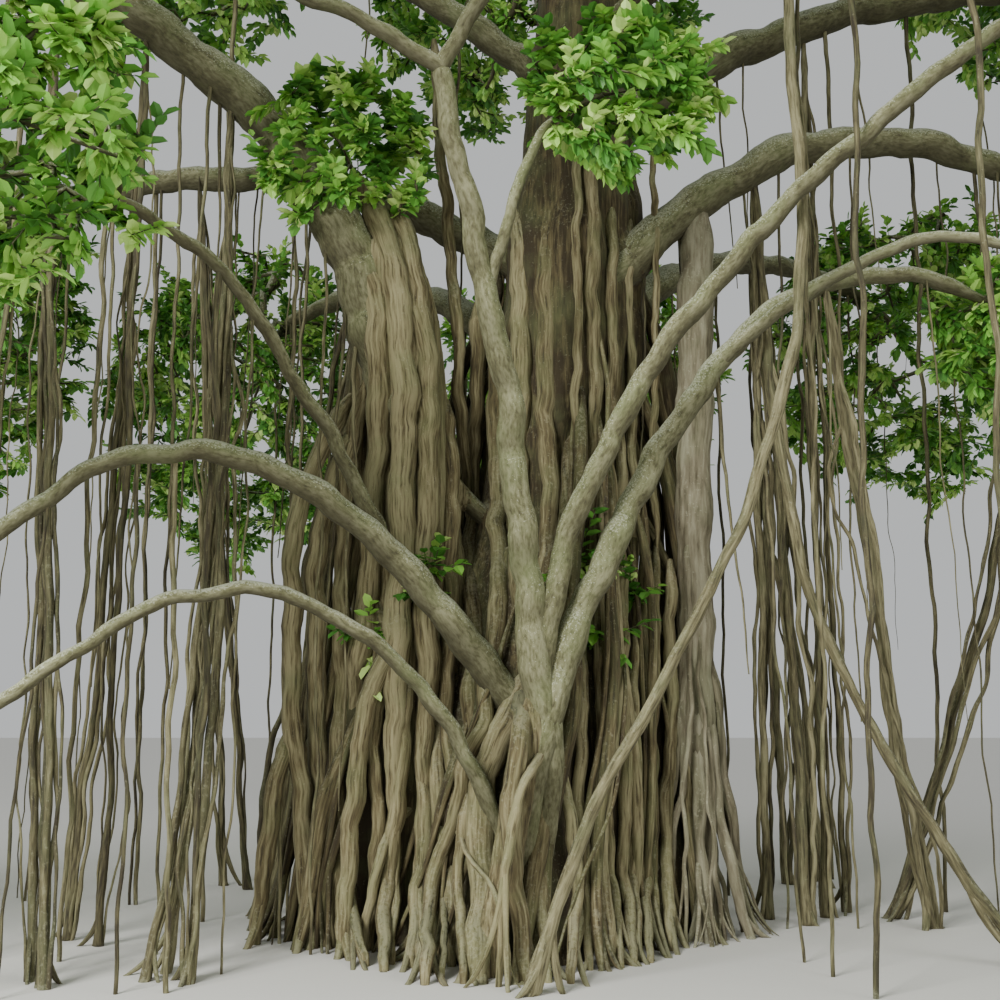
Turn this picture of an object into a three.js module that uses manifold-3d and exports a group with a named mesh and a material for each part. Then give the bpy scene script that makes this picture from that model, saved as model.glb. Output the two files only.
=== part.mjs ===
// A banyan tree rooted in level ground, in millimetres with +Z up.
// The origin is on the flat cut under the trunk. The near side is -Y, the left side is -X.
import * as THREE from "three";
import { mergeVertices } from "three/addons/utils/BufferGeometryUtils.js";
import Module from "manifold-3d";

const wasm = await Module();
wasm.setup();
const { Manifold, Mesh } = wasm;

// Driving dimensions
const jointGap = 0.4; // clearance where one limb grows from another, and between a limb's tip and its twigs
const cutDepth = 150; // how far a root runs past the ground before the flat cut
const limbStep = 620; // length of one straight stretch of a bough
const rootStep = 1050; // and of a hanging root
const limbSides = { thick: 7, thin: 5, thickFrom: 100 }; // faces round a bough, by its radius at the butt
const strandShrink = 0.14; // each further strand of a root cluster is thinner by this share
const cellMargin = 15; // each mass of leaves stays this far inside its own space
const limbClearance = 60; // leaves and twigs stay this far from every limb
const goldenTurn = Math.PI * (3 - Math.sqrt(5));
const seeds = { clinging: 100, masses: 500 };

// Finishes
const bark = { color: 0x8d8064, roughness: 0.92, metalness: 0 };
const rootBark = { color: 0x857b66, roughness: 0.94, metalness: 0 };
const foliage = { color: 0x4f7a2e, roughness: 0.6, metalness: 0 };

// The trunk is a bundle of grown-together stems. Each runs from start to end, with radii at even steps.
const trunkStems = [
  { start: [0, 0, -cutDepth], end: [640, 0, 7500], arch: -10, sides: 14,
    radii: [1480, 1330, 1150, 900, 650, 550, 530, 460, 360, 300] },
  { carries: "leader_top", start: [640, 0, 7300], end: [450, 150, 9100], arch: 8, sides: 8,
    radii: [290, 230, 180] },
  { start: [-980, -150, -cutDepth], end: [-590, -400, 2750], sides: 11, radii: [860, 690, 560, 400] },
  { carries: "left_stem", start: [-590, -400, 2500], end: [-860, -560, 5000], arch: 10, sides: 9,
    radii: [400, 350, 330, 250] },
  { start: [980, 150, -cutDepth], end: [700, 0, 2900], sides: 11, radii: [820, 620, 510, 380] },
  { start: [80, -880, -cutDepth], end: [280, -480, 2700], sides: 11, radii: [820, 650, 540, 380] },
  { start: [-560, 950, -cutDepth], end: [120, 330, 3700], sides: 10, radii: [780, 600, 460, 340, 260] },
  { start: [720, 980, -cutDepth], end: [620, 320, 4600], sides: 10, radii: [740, 560, 420, 300, 220] },
  { start: [-110, -1600, -cutDepth], end: [270, -1500, 1950], sides: 8, radii: [270, 190, 170, 175] },
];

// Roots that cling to the trunk and spread at the foot. Thickness is a radius, wander is in radians.
const clinging = { count: 15, sides: 5, steps: 6, lowest: 1700, tallest: 4700, thick: 62,
  thickRange: [0.75, 1.35], standOff: 25, sunkTop: 0.5, drop: 0.85, flare: 170, flareHeight: 380,
  footSwell: 1.1, wander: 0.5 };

// Boughs run from start to end as an arc: it leaves the straight line by half its arch and turn, in degrees.
const boughs = {
  bough_left_high: { start: [-740, -580, 3760], end: [-5100, -1800, 7600], arch: 50, turn: 1, sway: 8,
    lean: -20, butt: 250, tip: 80 },
  bough_right_back: { start: [640, -300, 4700], end: [5000, 300, 5760], arch: 56, turn: -4, sway: 12,
    butt: 180, tip: 105 },
  bough_right_top: { start: [600, -120, 6060], end: [4700, 900, 8000], arch: 18, turn: 9, sway: 4,
    butt: 185, tip: 100 },
  bough_left_arch_rise: { start: [80, -1000, 1640], end: [-2300, -2100, 3120], arch: 64, turn: -7, sway: 1,
    lean: 20, butt: 130, tip: 63 },
  bough_left_arch_fall: { start: [-2300, -2100, 3120], end: [-4600, -2960, 2200], arch: -14, turn: 26,
    sway: -15, lean: 3, butt: 62, tip: 40 },
  bough_left_low_rise: { start: [-60, -1300, 950], end: [-1500, -2100, 2340], arch: 54, turn: -8, sway: 1,
    butt: 62, tip: 47 },
  bough_left_low_fall: { start: [-1500, -2100, 2340], end: [-3900, -2900, -cutDepth], arch: 68, turn: 8,
    sway: -4, butt: 46, tip: 40 },
  bough_left_rising: { start: [-520, -660, 2220], end: [-2500, -2500, 4620], arch: 79, turn: 27, sway: -6,
    lean: 30, butt: 70, tip: 40 },
  bough_front: { start: [280, -1500, 1560], end: [-380, -2100, 5700], arch: -2, turn: 18, sway: 7,
    butt: 118, tip: 70 },
  bough_front_left: { start: [-370, -2090, 5640], end: [-1900, -2700, 6200], arch: 12, turn: 4, sway: -1,
    butt: 62, tip: 44 },
  bough_front_right: { start: [-380, -2100, 5660], end: [360, -2500, 6900], arch: 11, turn: -5, sway: -8,
    butt: 60, tip: 42 },
  bough_front_side: { start: [-60, -1920, 4240], end: [260, -1760, 5340], arch: 8, turn: -6, sway: 1,
    butt: 50, tip: 34 },
  bough_right_low: { start: [260, -1500, 1400], end: [3240, -900, 4600], arch: 95, turn: -10, sway: -7,
    lean: 29, butt: 116, tip: 60 },
  bough_right_high: { start: [240, -1500, 1660], end: [4800, -2700, 6700], arch: 62, turn: 6, sway: -1,
    lean: -12, butt: 86, tip: 50 },
  bough_right_thin: { start: [1560, -1220, 3900], end: [4200, -1800, 4300], arch: 75, turn: 0, sway: 8,
    butt: 56, tip: 34 },
  bough_front_high: { start: [660, -120, 6700], end: [2900, -3400, 7600], arch: 30, turn: -14, butt: 125,
    tip: 62 },
  bough_back_right: { start: [640, 120, 4300], end: [3500, 3100, 6000], arch: 50, turn: -10, butt: 175,
    tip: 85 },
  bough_back: { start: [580, 120, 5200], end: [900, 4700, 6200], arch: 58, turn: 15, butt: 165, tip: 85 },
  bough_back_left: { start: [360, 150, 4000], end: [-2200, 3900, 5900], arch: 50, turn: 12, butt: 175,
    tip: 85 },
  bough_left_back: { start: [420, 60, 4900], end: [-4300, 1600, 6100], arch: 52, turn: -14, butt: 165,
    tip: 85 },
  leader_left: { start: [600, 0, 6400], end: [-1900, 400, 8200], arch: 30, turn: 10, butt: 150, tip: 80 },
  leader_back: { start: [640, 20, 7000], end: [450, 2100, 8400], arch: 20, turn: 0, butt: 135, tip: 80 },
  leader_right: { start: [620, 0, 7500], end: [1900, -1000, 8700], arch: 14, turn: 0, butt: 120, tip: 75 },
};

// Prop roots hang from a bough, at a share of its length, and reach the ground at their feet.
const propRoots = {
  pillar_right: { from: "bough_right_back", at: 0.26, feet: [[1470, -200]], arch: 6, sides: 8, thick: 172,
    flare: 1.5, flareHeight: 900 },
  roots_left_front: { from: "bough_left_high", at: 0.66, feet: [[-2620, -2000], [-2780, -1780]], arch: -14,
    turn: -30, thick: 40 },
  roots_left_mid: { from: "bough_left_high", at: 0.55, feet: [[-3040, -400], [-2740, -620]], arch: -12,
    thick: 42 },
  roots_left_near: { from: "bough_left_high", at: 0.43,
    feet: [[-1840, -1860], [-2050, -1560], [-2120, -1800]], arch: -16, turn: -30, thick: 46 },
  roots_left_back: { from: "bough_left_back", at: 0.66, feet: [[-2520, 2360], [-2250, 2100]], thick: 48 },
  roots_stem_left: { from: "bough_left_back", at: 0.34, feet: [[-1790, -20], [-1920, 520], [-1480, 660]],
    arch: -8, thick: 62 },
  roots_right_inner: { from: "bough_right_back", at: 0.37, feet: [[2300, 210], [2060, 480]], arch: 4,
    thick: 58 },
  roots_right_outer: { from: "bough_right_top", at: 0.5, feet: [[2520, 560], [2760, 820]], thick: 44 },
  roots_lean_front: { from: "bough_right_low", at: 0.7, feet: [[3500, -1400]], arch: -43, turn: 7,
    sway: -1, thick: 58 },
  roots_lean_back: { from: "bough_right_low", at: 0.8, feet: [[3240, 120]], arch: 1, turn: -10, thick: 66 },
  roots_cross: { from: "bough_right_back", at: 0.92, feet: [[2960, 520]], arch: -12, thick: 56 },
  root_pole: { from: "bough_front_high", at: 0.54, feet: [[140, -2120]], arch: -7, turn: -22, sway: -14,
    lean: 8, thick: 60 },
  roots_back_left: { from: "bough_back_left", at: 0.72, feet: [[-1950, 3300], [-1650, 3560]], thick: 52 },
  roots_back_right: { from: "bough_back_right", at: 0.68, feet: [[2650, 2450], [2950, 2200]], thick: 52 },
};

// Each mass of leaves grows on from one limb, round its centre and within its reach along X, Y and Z.
const masses = {
  leaves_left: { on: "bough_left_high", centre: [-6200, -2000, 6900], reach: [2000, 2200, 2000] },
  leaves_left_low: { on: "bough_left_arch_fall", centre: [-5800, -3300, 2900], reach: [1550, 1450, 1300] },
  leaves_left_near: { on: "bough_left_rising", centre: [-3000, -3900, 4450], reach: [1700, 1600, 1300] },
  leaves_left_stem: { on: "left_stem", centre: [-1150, -900, 5650], reach: [900, 800, 850] },
  leaves_centre: { on: "bough_front_side", centre: [800, -1750, 5650], reach: [950, 700, 800] },
  leaves_right_low: { on: "bough_right_low", centre: [3950, -600, 4350], reach: [1000, 900, 800] },
  leaves_right_thin: { on: "bough_right_thin", centre: [5000, -2000, 4200], reach: [1000, 900, 900] },
  leaves_right_front: { on: "bough_right_high", centre: [6000, -3000, 6500], reach: [1700, 1900, 1700] },
  leaves_right: { on: "bough_right_back", centre: [6320, 680, 5420], reach: [1900, 2000, 2000] },
  leaves_right_high: { on: "bough_right_top", centre: [5400, 1600, 9000], reach: [2000, 2000, 1700] },
  leaves_front_left: { on: "bough_front_left", centre: [-2600, -3700, 7000], reach: [1900, 1800, 1500] },
  leaves_front: { on: "bough_front_right", centre: [500, -3900, 7700], reach: [2000, 1800, 1500] },
  leaves_front_right: { on: "bough_front_high", centre: [3900, -4500, 7100], reach: [2000, 1900, 1600] },
  leaves_back_right: { on: "bough_back_right", centre: [4700, 4300, 5600], reach: [2200, 2100, 2100] },
  leaves_back: { on: "bough_back", centre: [1000, 6100, 5700], reach: [2300, 1900, 2200] },
  leaves_back_left: { on: "bough_back_left", centre: [-3000, 5200, 5200], reach: [2200, 2100, 2400] },
  leaves_left_back: { on: "bough_left_back", centre: [-5700, 2200, 5400], reach: [2200, 2200, 2300] },
  leaves_mid_left: { on: "leader_left", centre: [-3000, 700, 9000], reach: [2200, 2300, 1800] },
  leaves_mid_back: { on: "leader_back", centre: [400, 3300, 9300], reach: [2300, 2100, 1800] },
  leaves_mid_right: { on: "leader_right", centre: [2700, -1600, 9600], reach: [2200, 2000, 1700] },
  leaves_top: { on: "leader_top", centre: [300, 300, 10300], reach: [2300, 2300, 1500] },
};

// A leaf of these masses stands for a spray. Its length is a share of the mass's mean reach, its width and
// thickness are shares of that length, and it is widest at this share of the length.
const spray = { length: 0.84, sizes: [0.85, 1.1], width: 0.93, thickness: 0.055, widest: 0.45,
  wobble: 0.35 };
const sprayCounts = { small: 8, large: 11, smallReach: 1200 }; // sprays tried in one mass, by its mean reach
const sprayPlaces = [0.84, 0.72, 0.58, 0.44]; // how far out from the mass's centre a spray is tried

// The one stem of a mass and its twigs. Radii are shares of the mean reach, joints lie at shares of the way.
const stem = { radius: 0.03, butt: 2, inTip: 0.9, knee: 0.45, past: 0.35, steps: 4, sides: 4, joints: 6,
  firstJoint: 0.3 };
const twig = { thinner: 0.42, least: 0.004, taper: 0.8, joints: [0.45, 0.8], runCost: 0.1 };

const testSteps = 5; // a spray is tested on a grid of this many steps from its middle to its edge
const twigTests = [0.25, 0.5, 0.75, 1];
const sideHint = new THREE.Vector3(0.31, 0.17, 0.93); // starts the turn of each limb's faces

const vector = (list) => new THREE.Vector3(...list);
const mix = THREE.MathUtils.lerp;

// A random number from 0 to 1, the same each run for the same seed.
function seeded(seed) {
  let state = seed >>> 0;
  return () => {
    state = (state + 0x6d2b79f5) >>> 0;
    let t = state;
    t = Math.imul(t ^ (t >>> 15), t | 1);
    t ^= t + Math.imul(t ^ (t >>> 7), t | 61);
    return ((t ^ (t >>> 14)) >>> 0) / 4294967296;
  };
}

// The centre line of a limb from its start to its end.
function centreLine({ start, end, arch = 0, turn = 0, sway = 0, lean = 0 }, steps) {
  const first = vector(start);
  const chord = vector(end).sub(first);
  const length = chord.length();
  const heading = Math.atan2(chord.y, chord.x);
  const climb = Math.asin(chord.z / length);
  const [bend, swing, wave, swell] = [arch, turn, sway, lean].map(THREE.MathUtils.degToRad);
  const line = [first];
  for (let i = 0; i < steps; i++) {
    const t = (i + 0.5) / steps;
    const around = heading + swing * (t - 0.5);
    const belly = Math.sin(Math.PI * t) - 2 / Math.PI;
    const up = climb + bend * (0.5 - t) + wave * Math.sin(2 * Math.PI * t) + swell * belly;
    const flat = Math.cos(up);
    const way = new THREE.Vector3(flat * Math.cos(around), flat * Math.sin(around), Math.sin(up));
    line.push(line[i].clone().addScaledVector(way, length / steps));
  }
  const stretch = length / line[steps].distanceTo(first);
  const walked = line.map((point) => point.clone().sub(first).multiplyScalar(stretch).add(first));
  const miss = vector(end).sub(walked[steps]);
  return walked.map((point, i) => point.addScaledVector(miss, i / steps));
}

// The value at a share t of the way along an even list of numbers.
function along(list, t) {
  const place = Math.min(t * (list.length - 1), list.length - 1.000001);
  const i = Math.floor(place);
  return mix(list[i], list[i + 1], place - i);
}

// A closed cylinder bent along a line, with a radius at each of its points.
function tube(line, radii, sides) {
  const steps = line.length - 1;
  const geometry = new THREE.CylinderGeometry(1, 1, 1, sides, steps);
  const frames = [];
  const normal = new THREE.Vector3();
  line.forEach((point, i) => {
    const tangent = line[Math.min(i + 1, steps)].clone().sub(line[Math.max(i - 1, 0)]).normalize();
    if (i === 0) normal.copy(sideHint);
    normal.addScaledVector(tangent, -normal.dot(tangent)).normalize();
    frames.push({ normal: normal.clone(), across: new THREE.Vector3().crossVectors(normal, tangent) });
  });
  const place = geometry.getAttribute("position");
  const point = new THREE.Vector3();
  for (let v = 0; v < place.count; v++) {
    const i = Math.round((place.getY(v) + 0.5) * steps);
    point.copy(line[i]);
    point.addScaledVector(frames[i].normal, place.getX(v) * radii[i]);
    point.addScaledVector(frames[i].across, place.getZ(v) * radii[i]);
    place.setXYZ(v, point.x, point.y, point.z);
  }
  return solid(geometry);
}

function solid(geometry) {
  geometry.deleteAttribute("normal");
  geometry.deleteAttribute("uv");
  const merged = mergeVertices(geometry, 1e-3);
  const vertProperties = merged.attributes.position.array;
  const triVerts = new Uint32Array(merged.index.array);
  return new Manifold(new Mesh({ numProp: 3, vertProperties, triVerts }));
}

// The largest outer body, which drops loose scraps and fills sealed hollows.
function largestBody(made) {
  return made.decompose().reduce((best, body) => (body.volume() > best.volume() ? body : best));
}

// Limbs as lines with radii, kept for the solids, for hanging roots and for clearances
const limbs = [];
const tips = {};

function addLimb(node, line, radii, sides) {
  const limb = { node, line, radii, sides };
  limbs.push(limb);
  return limb;
}

// A limb's tip: where it ends, the way it points, and its radius there.
function tipOf({ line, radii }) {
  const last = line.length - 1;
  const way = new THREE.Vector3().subVectors(line[last], line[last - 1]).normalize();
  return { point: line[last], way, radius: radii[last] };
}

function stemLimb(trunkStem) {
  const { carries, start, end, radii, sides } = trunkStem;
  const steps = Math.max(radii.length - 1, Math.round(vector(start).distanceTo(vector(end)) / limbStep));
  const line = centreLine(trunkStem, steps);
  const limb = addLimb("trunk", line, line.map((_, i) => along(radii, i / steps)), sides);
  if (carries) tips[carries] = tipOf(limb);
}

// A clinging root follows the trunk's main stem down and flares out at its foot.
function clingingRoot(i) {
  const random = seeded(seeds.clinging + i);
  const core = trunkStems[0];
  const coreLine = centreLine(core, core.radii.length - 1);
  const top = mix(clinging.lowest, clinging.tallest, random());
  const around = i * goldenTurn;
  const drift = clinging.wander * (random() - 0.5);
  const thick = clinging.thick * mix(...clinging.thickRange, random());
  const line = [];
  const radii = [];
  for (let k = 0; k <= clinging.steps; k++) {
    const down = k / clinging.steps;
    const z = mix(top, -cutDepth, Math.pow(down, clinging.drop));
    const t = THREE.MathUtils.clamp(z / core.end[2], 0, 1);
    const spread = clinging.flare * Math.exp(-Math.max(z, 0) / clinging.flareHeight);
    const off = mix(-clinging.sunkTop * thick, clinging.standOff, Math.min(1, 3 * down));
    const out = along(core.radii, t) + off + spread;
    const angle = around + drift * down;
    const x = along(coreLine.map((point) => point.x), t);
    line.push(new THREE.Vector3(x + out * Math.cos(angle), out * Math.sin(angle), z));
    radii.push(thick * (1 + clinging.footSwell * Math.exp(-Math.max(z, 0) / clinging.flareHeight)));
  }
  addLimb("trunk", line, radii, clinging.sides);
}

function boughLimb(name, bough) {
  const span = vector(bough.start).distanceTo(vector(bough.end));
  const steps = Math.max(3, Math.round(span / limbStep));
  const line = centreLine(bough, steps);
  const radii = line.map((_, i) => mix(bough.butt, bough.tip, i / steps));
  const sides = bough.butt > limbSides.thickFrom ? limbSides.thick : limbSides.thin;
  tips[name] = tipOf(addLimb(name, line, radii, sides));
}

function rootLimbs(name, root) {
  const { from, at, feet, arch, turn, sway, lean, thick, flare = 0.9, flareHeight = 380 } = root;
  const { sides = limbSides.thin } = root;
  const parent = limbs.find((limb) => limb.node === from).line;
  const start = [0, 1, 2].map((axis) => along(parent.map((point) => point.getComponent(axis)), at));
  feet.forEach((foot, k) => {
    const steps = Math.round((start[2] + cutDepth) / rootStep);
    const line = centreLine({ start, end: [...foot, -cutDepth], arch, turn, sway, lean }, steps);
    const slim = thick * (1 - strandShrink * k);
    const radii = line.map(({ z }) => slim * (1 + flare * Math.exp(-Math.max(z, 0) / flareHeight)));
    addLimb(name, line, radii, sides);
  });
}

trunkStems.forEach(stemLimb);
for (let i = 0; i < clinging.count; i++) clingingRoot(i);
Object.entries(boughs).forEach(([name, bough]) => boughLimb(name, bough));
Object.entries(propRoots).forEach(([name, root]) => rootLimbs(name, root));

// The line with both its ends moved out by a distance.
function lengthened(line, by) {
  const last = line.length - 1;
  const out = (from, to) => to.clone().add(to.clone().sub(from).setLength(by));
  return [out(line[1], line[0]), ...line.slice(1, last), out(line[last - 1], line[last])];
}

// The solid of a node's limbs, grown all round where a gap is cut with it.
function nodeSolid(node, grow) {
  const strands = limbs.filter((limb) => limb.node === node);
  const tubes = strands.map(({ line, radii, sides }) => {
    return tube(grow ? lengthened(line, grow) : line, radii.map((r) => r + grow), sides);
  });
  return Manifold.union(tubes).trimByPlane([0, 0, 1], 0);
}

function boxesMeet(a, b) {
  const [p, q] = [a.boundingBox(), b.boundingBox()];
  return [0, 1, 2].every((axis) => p.min[axis] <= q.max[axis] && q.min[axis] <= p.max[axis]);
}

// Each limb is cut clear of the limbs before it in the list, so it starts at the face it grows from.
function limbSolids() {
  const made = {};
  const grown = [];
  for (const node of new Set(limbs.map((limb) => limb.node))) {
    let body = nodeSolid(node, 0);
    grown.filter((other) => boxesMeet(body, other)).forEach((other) => (body = body.subtract(other)));
    made[node] = largestBody(body);
    grown.push(nodeSolid(node, jointGap));
  }
  return made;
}

// Whether a point is clear of every limb.
function clearOfLimbs(point, margin) {
  const nearest = new THREE.Vector3();
  const segment = new THREE.Line3();
  return limbs.every(({ line, radii }) =>
    line.slice(1).every((end, i) => {
      segment.set(line[i], end);
      segment.closestPointToPoint(point, true, nearest);
      return nearest.distanceTo(point) > Math.max(radii[i], radii[i + 1]) + margin;
    }));
}

const meanReach = ({ reach }) => Math.cbrt(reach[0] * reach[1] * reach[2]);

// Whether a point is in a mass's own space: inside its reach, and on its side of each neighbour.
function inSpace(name, point, margin) {
  const mass = masses[name];
  const centre = vector(mass.centre);
  const out = point.clone().sub(centre);
  const share = Math.hypot(...mass.reach.map((reach, axis) => out.getComponent(axis) / (reach - margin)));
  if (share > 1) return false;
  return Object.entries(masses).every(([other, { centre: place, reach }]) => {
    if (other === name) return true;
    const way = vector(place).sub(centre);
    const apart = way.length();
    const own = meanReach(mass);
    return out.dot(way) / apart < (apart * own) / (own + meanReach({ reach })) - margin;
  });
}

// One spray: a flat eight-faced leaf that hangs outwards, steeper on the sides of its mass.
function sprayAt(mass, way, share, jitter) {
  const size = meanReach(mass);
  const [wobbleX, wobbleY, wobbleZ] = jitter.map((value) => spray.wobble * (value - 0.5));
  const steep = 1 - Math.abs(way.z);
  const lie = new THREE.Vector3(way.x + wobbleX, way.y + wobbleY, 0).setLength(1 - 0.65 * steep);
  lie.z = 0.6 * wobbleZ - 0.9 * steep - 0.1;
  lie.normalize();
  const face = way.clone().addScaledVector(lie, -way.dot(lie)).normalize();
  const side = new THREE.Vector3().crossVectors(face, lie);
  const length = spray.length * size * mix(...spray.sizes, jitter[2]);
  const middle = vector(mass.centre);
  mass.reach.forEach((reach, axis) => {
    middle.setComponent(axis, middle.getComponent(axis) + way.getComponent(axis) * share * reach);
  });
  return { length, width: length * spray.width, middle, lie, face, side };
}

function sprayCorner({ length, width, middle, lie, face, side }, x, y, z) {
  const point = middle.clone().addScaledVector(lie, length * x * (x > 0 ? 1 - spray.widest : spray.widest));
  point.addScaledVector(side, (width * y) / 2);
  return point.addScaledVector(face, (length * spray.thickness * z) / 2);
}

// A three-sided twig that widens into its spray, as one closed body from the joint to the spray's tip.
function sprigSolid(joint, thin, leaf) {
  const root = sprayCorner(leaf, -1, 0, 0);
  const way = root.clone().sub(joint).normalize();
  const bend = way.clone().add(leaf.lie).normalize();
  const flat = leaf.length * spray.thickness * 0.5;
  const rows = [
    { centre: joint, normal: way, wide: thin, deep: thin },
    { centre: root, normal: bend, wide: thin * twig.taper, deep: thin * twig.taper },
    { centre: leaf.middle, normal: leaf.lie, wide: leaf.width / Math.sqrt(3), deep: flat },
    { centre: sprayCorner(leaf, 1, 0, 0), normal: leaf.lie, wide: 0, deep: 0 },
  ];
  const geometry = new THREE.ConeGeometry(1, 1, 3, 3);
  const place = geometry.getAttribute("position");
  for (let v = 0; v < place.count; v++) {
    const { centre, normal, wide, deep } = rows[Math.round((place.getY(v) + 0.5) * 3)];
    const side = leaf.side.clone().addScaledVector(normal, -leaf.side.dot(normal)).normalize();
    const face = new THREE.Vector3().crossVectors(normal, side);
    const point = centre.clone().addScaledVector(side, place.getX(v) * wide);
    point.addScaledVector(face, -place.getZ(v) * deep);
    place.setXYZ(v, point.x, point.y, point.z);
  }
  return solid(geometry);
}

// Where on a spray its space and clearance are tested: its ridge, and an even grid over its outline
const sprayTests = [[0, 0, 1], [0, 0, -1]];
for (let x = -testSteps; x <= testSteps; x++) {
  const edge = testSteps - Math.abs(x);
  for (let y = -edge; y <= edge; y++) sprayTests.push([x / testSteps, y / testSteps, 0]);
}

function sprayFits(name, leaf) {
  return sprayTests.every((test) => {
    const corner = sprayCorner(leaf, ...test);
    return inSpace(name, corner, cellMargin) && clearOfLimbs(corner, limbClearance);
  });
}

function twigFits(name, from, to, radius) {
  return twigTests.every((t) => {
    const point = from.clone().lerp(to, t);
    return inSpace(name, point, cellMargin + radius) && clearOfLimbs(point, limbClearance + radius);
  });
}

// The stem bends from its limb's tip through the mass's centre, and holds the joints for its twigs.
function growStem(mass) {
  const { point, way, radius } = tips[mass.on];
  const start = point.clone().addScaledVector(way, jointGap);
  const centre = vector(mass.centre);
  const reached = start.distanceTo(centre);
  const knee = start.clone().addScaledVector(way, stem.knee * reached);
  const far = centre.clone().lerp(knee, -stem.past);
  const curve = new THREE.QuadraticBezierCurve3(start, knee, far);
  const line = curve.getPoints(stem.steps);
  line[1] = start.clone().addScaledVector(way, start.distanceTo(line[1]));
  const thin = stem.radius * meanReach(mass);
  const butt = Math.min(radius * stem.inTip, thin * stem.butt);
  const radii = line.map((_, i) => mix(butt, thin, i / stem.steps));
  const joints = [];
  for (let i = 0; i < stem.joints; i++) {
    const t = mix(stem.firstJoint, 1, (i + 0.5) / stem.joints);
    const place = [0, 1, 2].map((axis) => along(line.map((p) => p.getComponent(axis)), t));
    joints.push({ place: vector(place), radius: along(radii, t), run: t });
  }
  return { body: tube(line, radii, stem.sides), joints, start };
}

// Twigs branch by rule: each spray, from the nearest to the furthest, takes the nearest free joint.
function growMass(name, index) {
  const mass = masses[name];
  const random = seeded(seeds.masses + index);
  const { body, joints, start } = growStem(mass);
  const size = meanReach(mass);
  const count = size < sprayCounts.smallReach ? sprayCounts.small : sprayCounts.large;
  const targets = [];
  for (let i = 0; i < count; i++) {
    const up = 1 - (2 * (i + 0.5)) / count;
    const around = i * goldenTurn + index;
    const flat = Math.sqrt(1 - up * up);
    const way = new THREE.Vector3(flat * Math.cos(around), flat * Math.sin(around), up);
    const far = vector(mass.centre).addScaledVector(way, size * sprayPlaces[0]).distanceTo(start);
    targets.push({ way, far, jitter: [random(), random(), random()] });
  }
  targets.sort((a, b) => a.far - b.far);
  const bodies = [body];
  for (const { way, jitter } of targets) {
    for (const share of sprayPlaces) {
      const leaf = sprayAt(mass, way, share, jitter);
      const root = sprayCorner(leaf, -1, 0, 0);
      const cost = (joint) => joint.place.distanceTo(root) + twig.runCost * size * joint.run;
      const joint = joints.reduce((best, next) => (cost(next) < cost(best) ? next : best));
      const thin = Math.max(joint.radius * twig.thinner, twig.least * size);
      if (!sprayFits(name, leaf) || !twigFits(name, joint.place, root, thin)) continue;
      bodies.push(sprigSolid(joint.place, thin, leaf));
      joints.splice(joints.indexOf(joint), 1);
      for (const t of twig.joints) {
        const place = joint.place.clone().lerp(root, t);
        joints.push({ place, radius: thin * mix(1, twig.taper, t), run: joint.run + t });
      }
      break;
    }
  }
  return largestBody(Manifold.union(bodies));
}

// A solid becomes a mesh with its own finish.
function meshOf(name, made, finish) {
  const { numProp, numVert, vertProperties, triVerts } = made.getMesh();
  const positions = new Float32Array(numVert * 3);
  for (let v = 0; v < numVert; v++) {
    positions.set(vertProperties.subarray(v * numProp, v * numProp + 3), v * 3);
  }
  const geometry = new THREE.BufferGeometry();
  geometry.setAttribute("position", new THREE.BufferAttribute(positions, 3));
  geometry.setIndex(new THREE.BufferAttribute(triVerts, 1));
  const mesh = new THREE.Mesh(geometry, new THREE.MeshStandardMaterial({ ...finish, flatShading: true }));
  mesh.name = name;
  return mesh;
}

const banyan = new THREE.Group();
Object.entries(limbSolids()).forEach(([name, made]) => {
  banyan.add(meshOf(name, made, name in propRoots ? rootBark : bark));
});
Object.keys(masses).forEach((name, index) => banyan.add(meshOf(name, growMass(name, index), foliage)));

export default banyan;
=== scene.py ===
import math

import bpy
import numpy as np
from mathutils import Euler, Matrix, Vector
from mathutils.bvhtree import BVHTree


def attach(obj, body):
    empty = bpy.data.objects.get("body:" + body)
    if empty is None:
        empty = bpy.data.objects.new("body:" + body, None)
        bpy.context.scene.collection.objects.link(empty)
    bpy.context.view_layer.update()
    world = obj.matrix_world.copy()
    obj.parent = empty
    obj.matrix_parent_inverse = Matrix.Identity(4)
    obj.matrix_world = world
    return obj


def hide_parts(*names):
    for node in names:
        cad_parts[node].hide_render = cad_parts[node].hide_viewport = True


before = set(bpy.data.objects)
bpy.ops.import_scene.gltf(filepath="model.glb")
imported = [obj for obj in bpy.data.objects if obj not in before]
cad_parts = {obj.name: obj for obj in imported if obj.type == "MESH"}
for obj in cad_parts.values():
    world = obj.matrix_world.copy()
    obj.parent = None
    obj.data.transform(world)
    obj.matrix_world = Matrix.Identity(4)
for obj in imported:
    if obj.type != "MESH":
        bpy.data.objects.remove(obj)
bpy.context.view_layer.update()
goldenTurn = math.pi * (3 - math.sqrt(5))


def fromHex(code):
    # sRGB hex to the linear colour that Blender works in
    parts = [int(code[i:i + 2], 16) / 255 for i in (1, 3, 5)]
    return tuple(c / 12.92 if c <= 0.04045 else ((c + 0.055) / 1.055) ** 2.4 for c in parts) + (1.0,)


def addNode(tree, kind, inputs=None, stops=None, **settings):
    # inputs: socket name or number, with a value, a socket or a node, which gives its first working output;
    # stops: a ramp's places and colours
    node = tree.nodes.new(kind)
    for name, value in settings.items():
        setattr(node, name, value)
    for key, value in (inputs or {}).items():
        if isinstance(value, bpy.types.Node):
            value = next(socket for socket in value.outputs if socket.enabled)
        if isinstance(value, bpy.types.NodeSocket):
            tree.links.new(value, node.inputs[key])
        else:
            node.inputs[key].default_value = value
    if stops:
        ramp = node.color_ramp
        while len(ramp.elements) < len(stops):
            ramp.elements.new(0.5)
        for element, (place, code) in zip(ramp.elements, stops):
            element.position = place
            element.color = fromHex(code)
    return node


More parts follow.
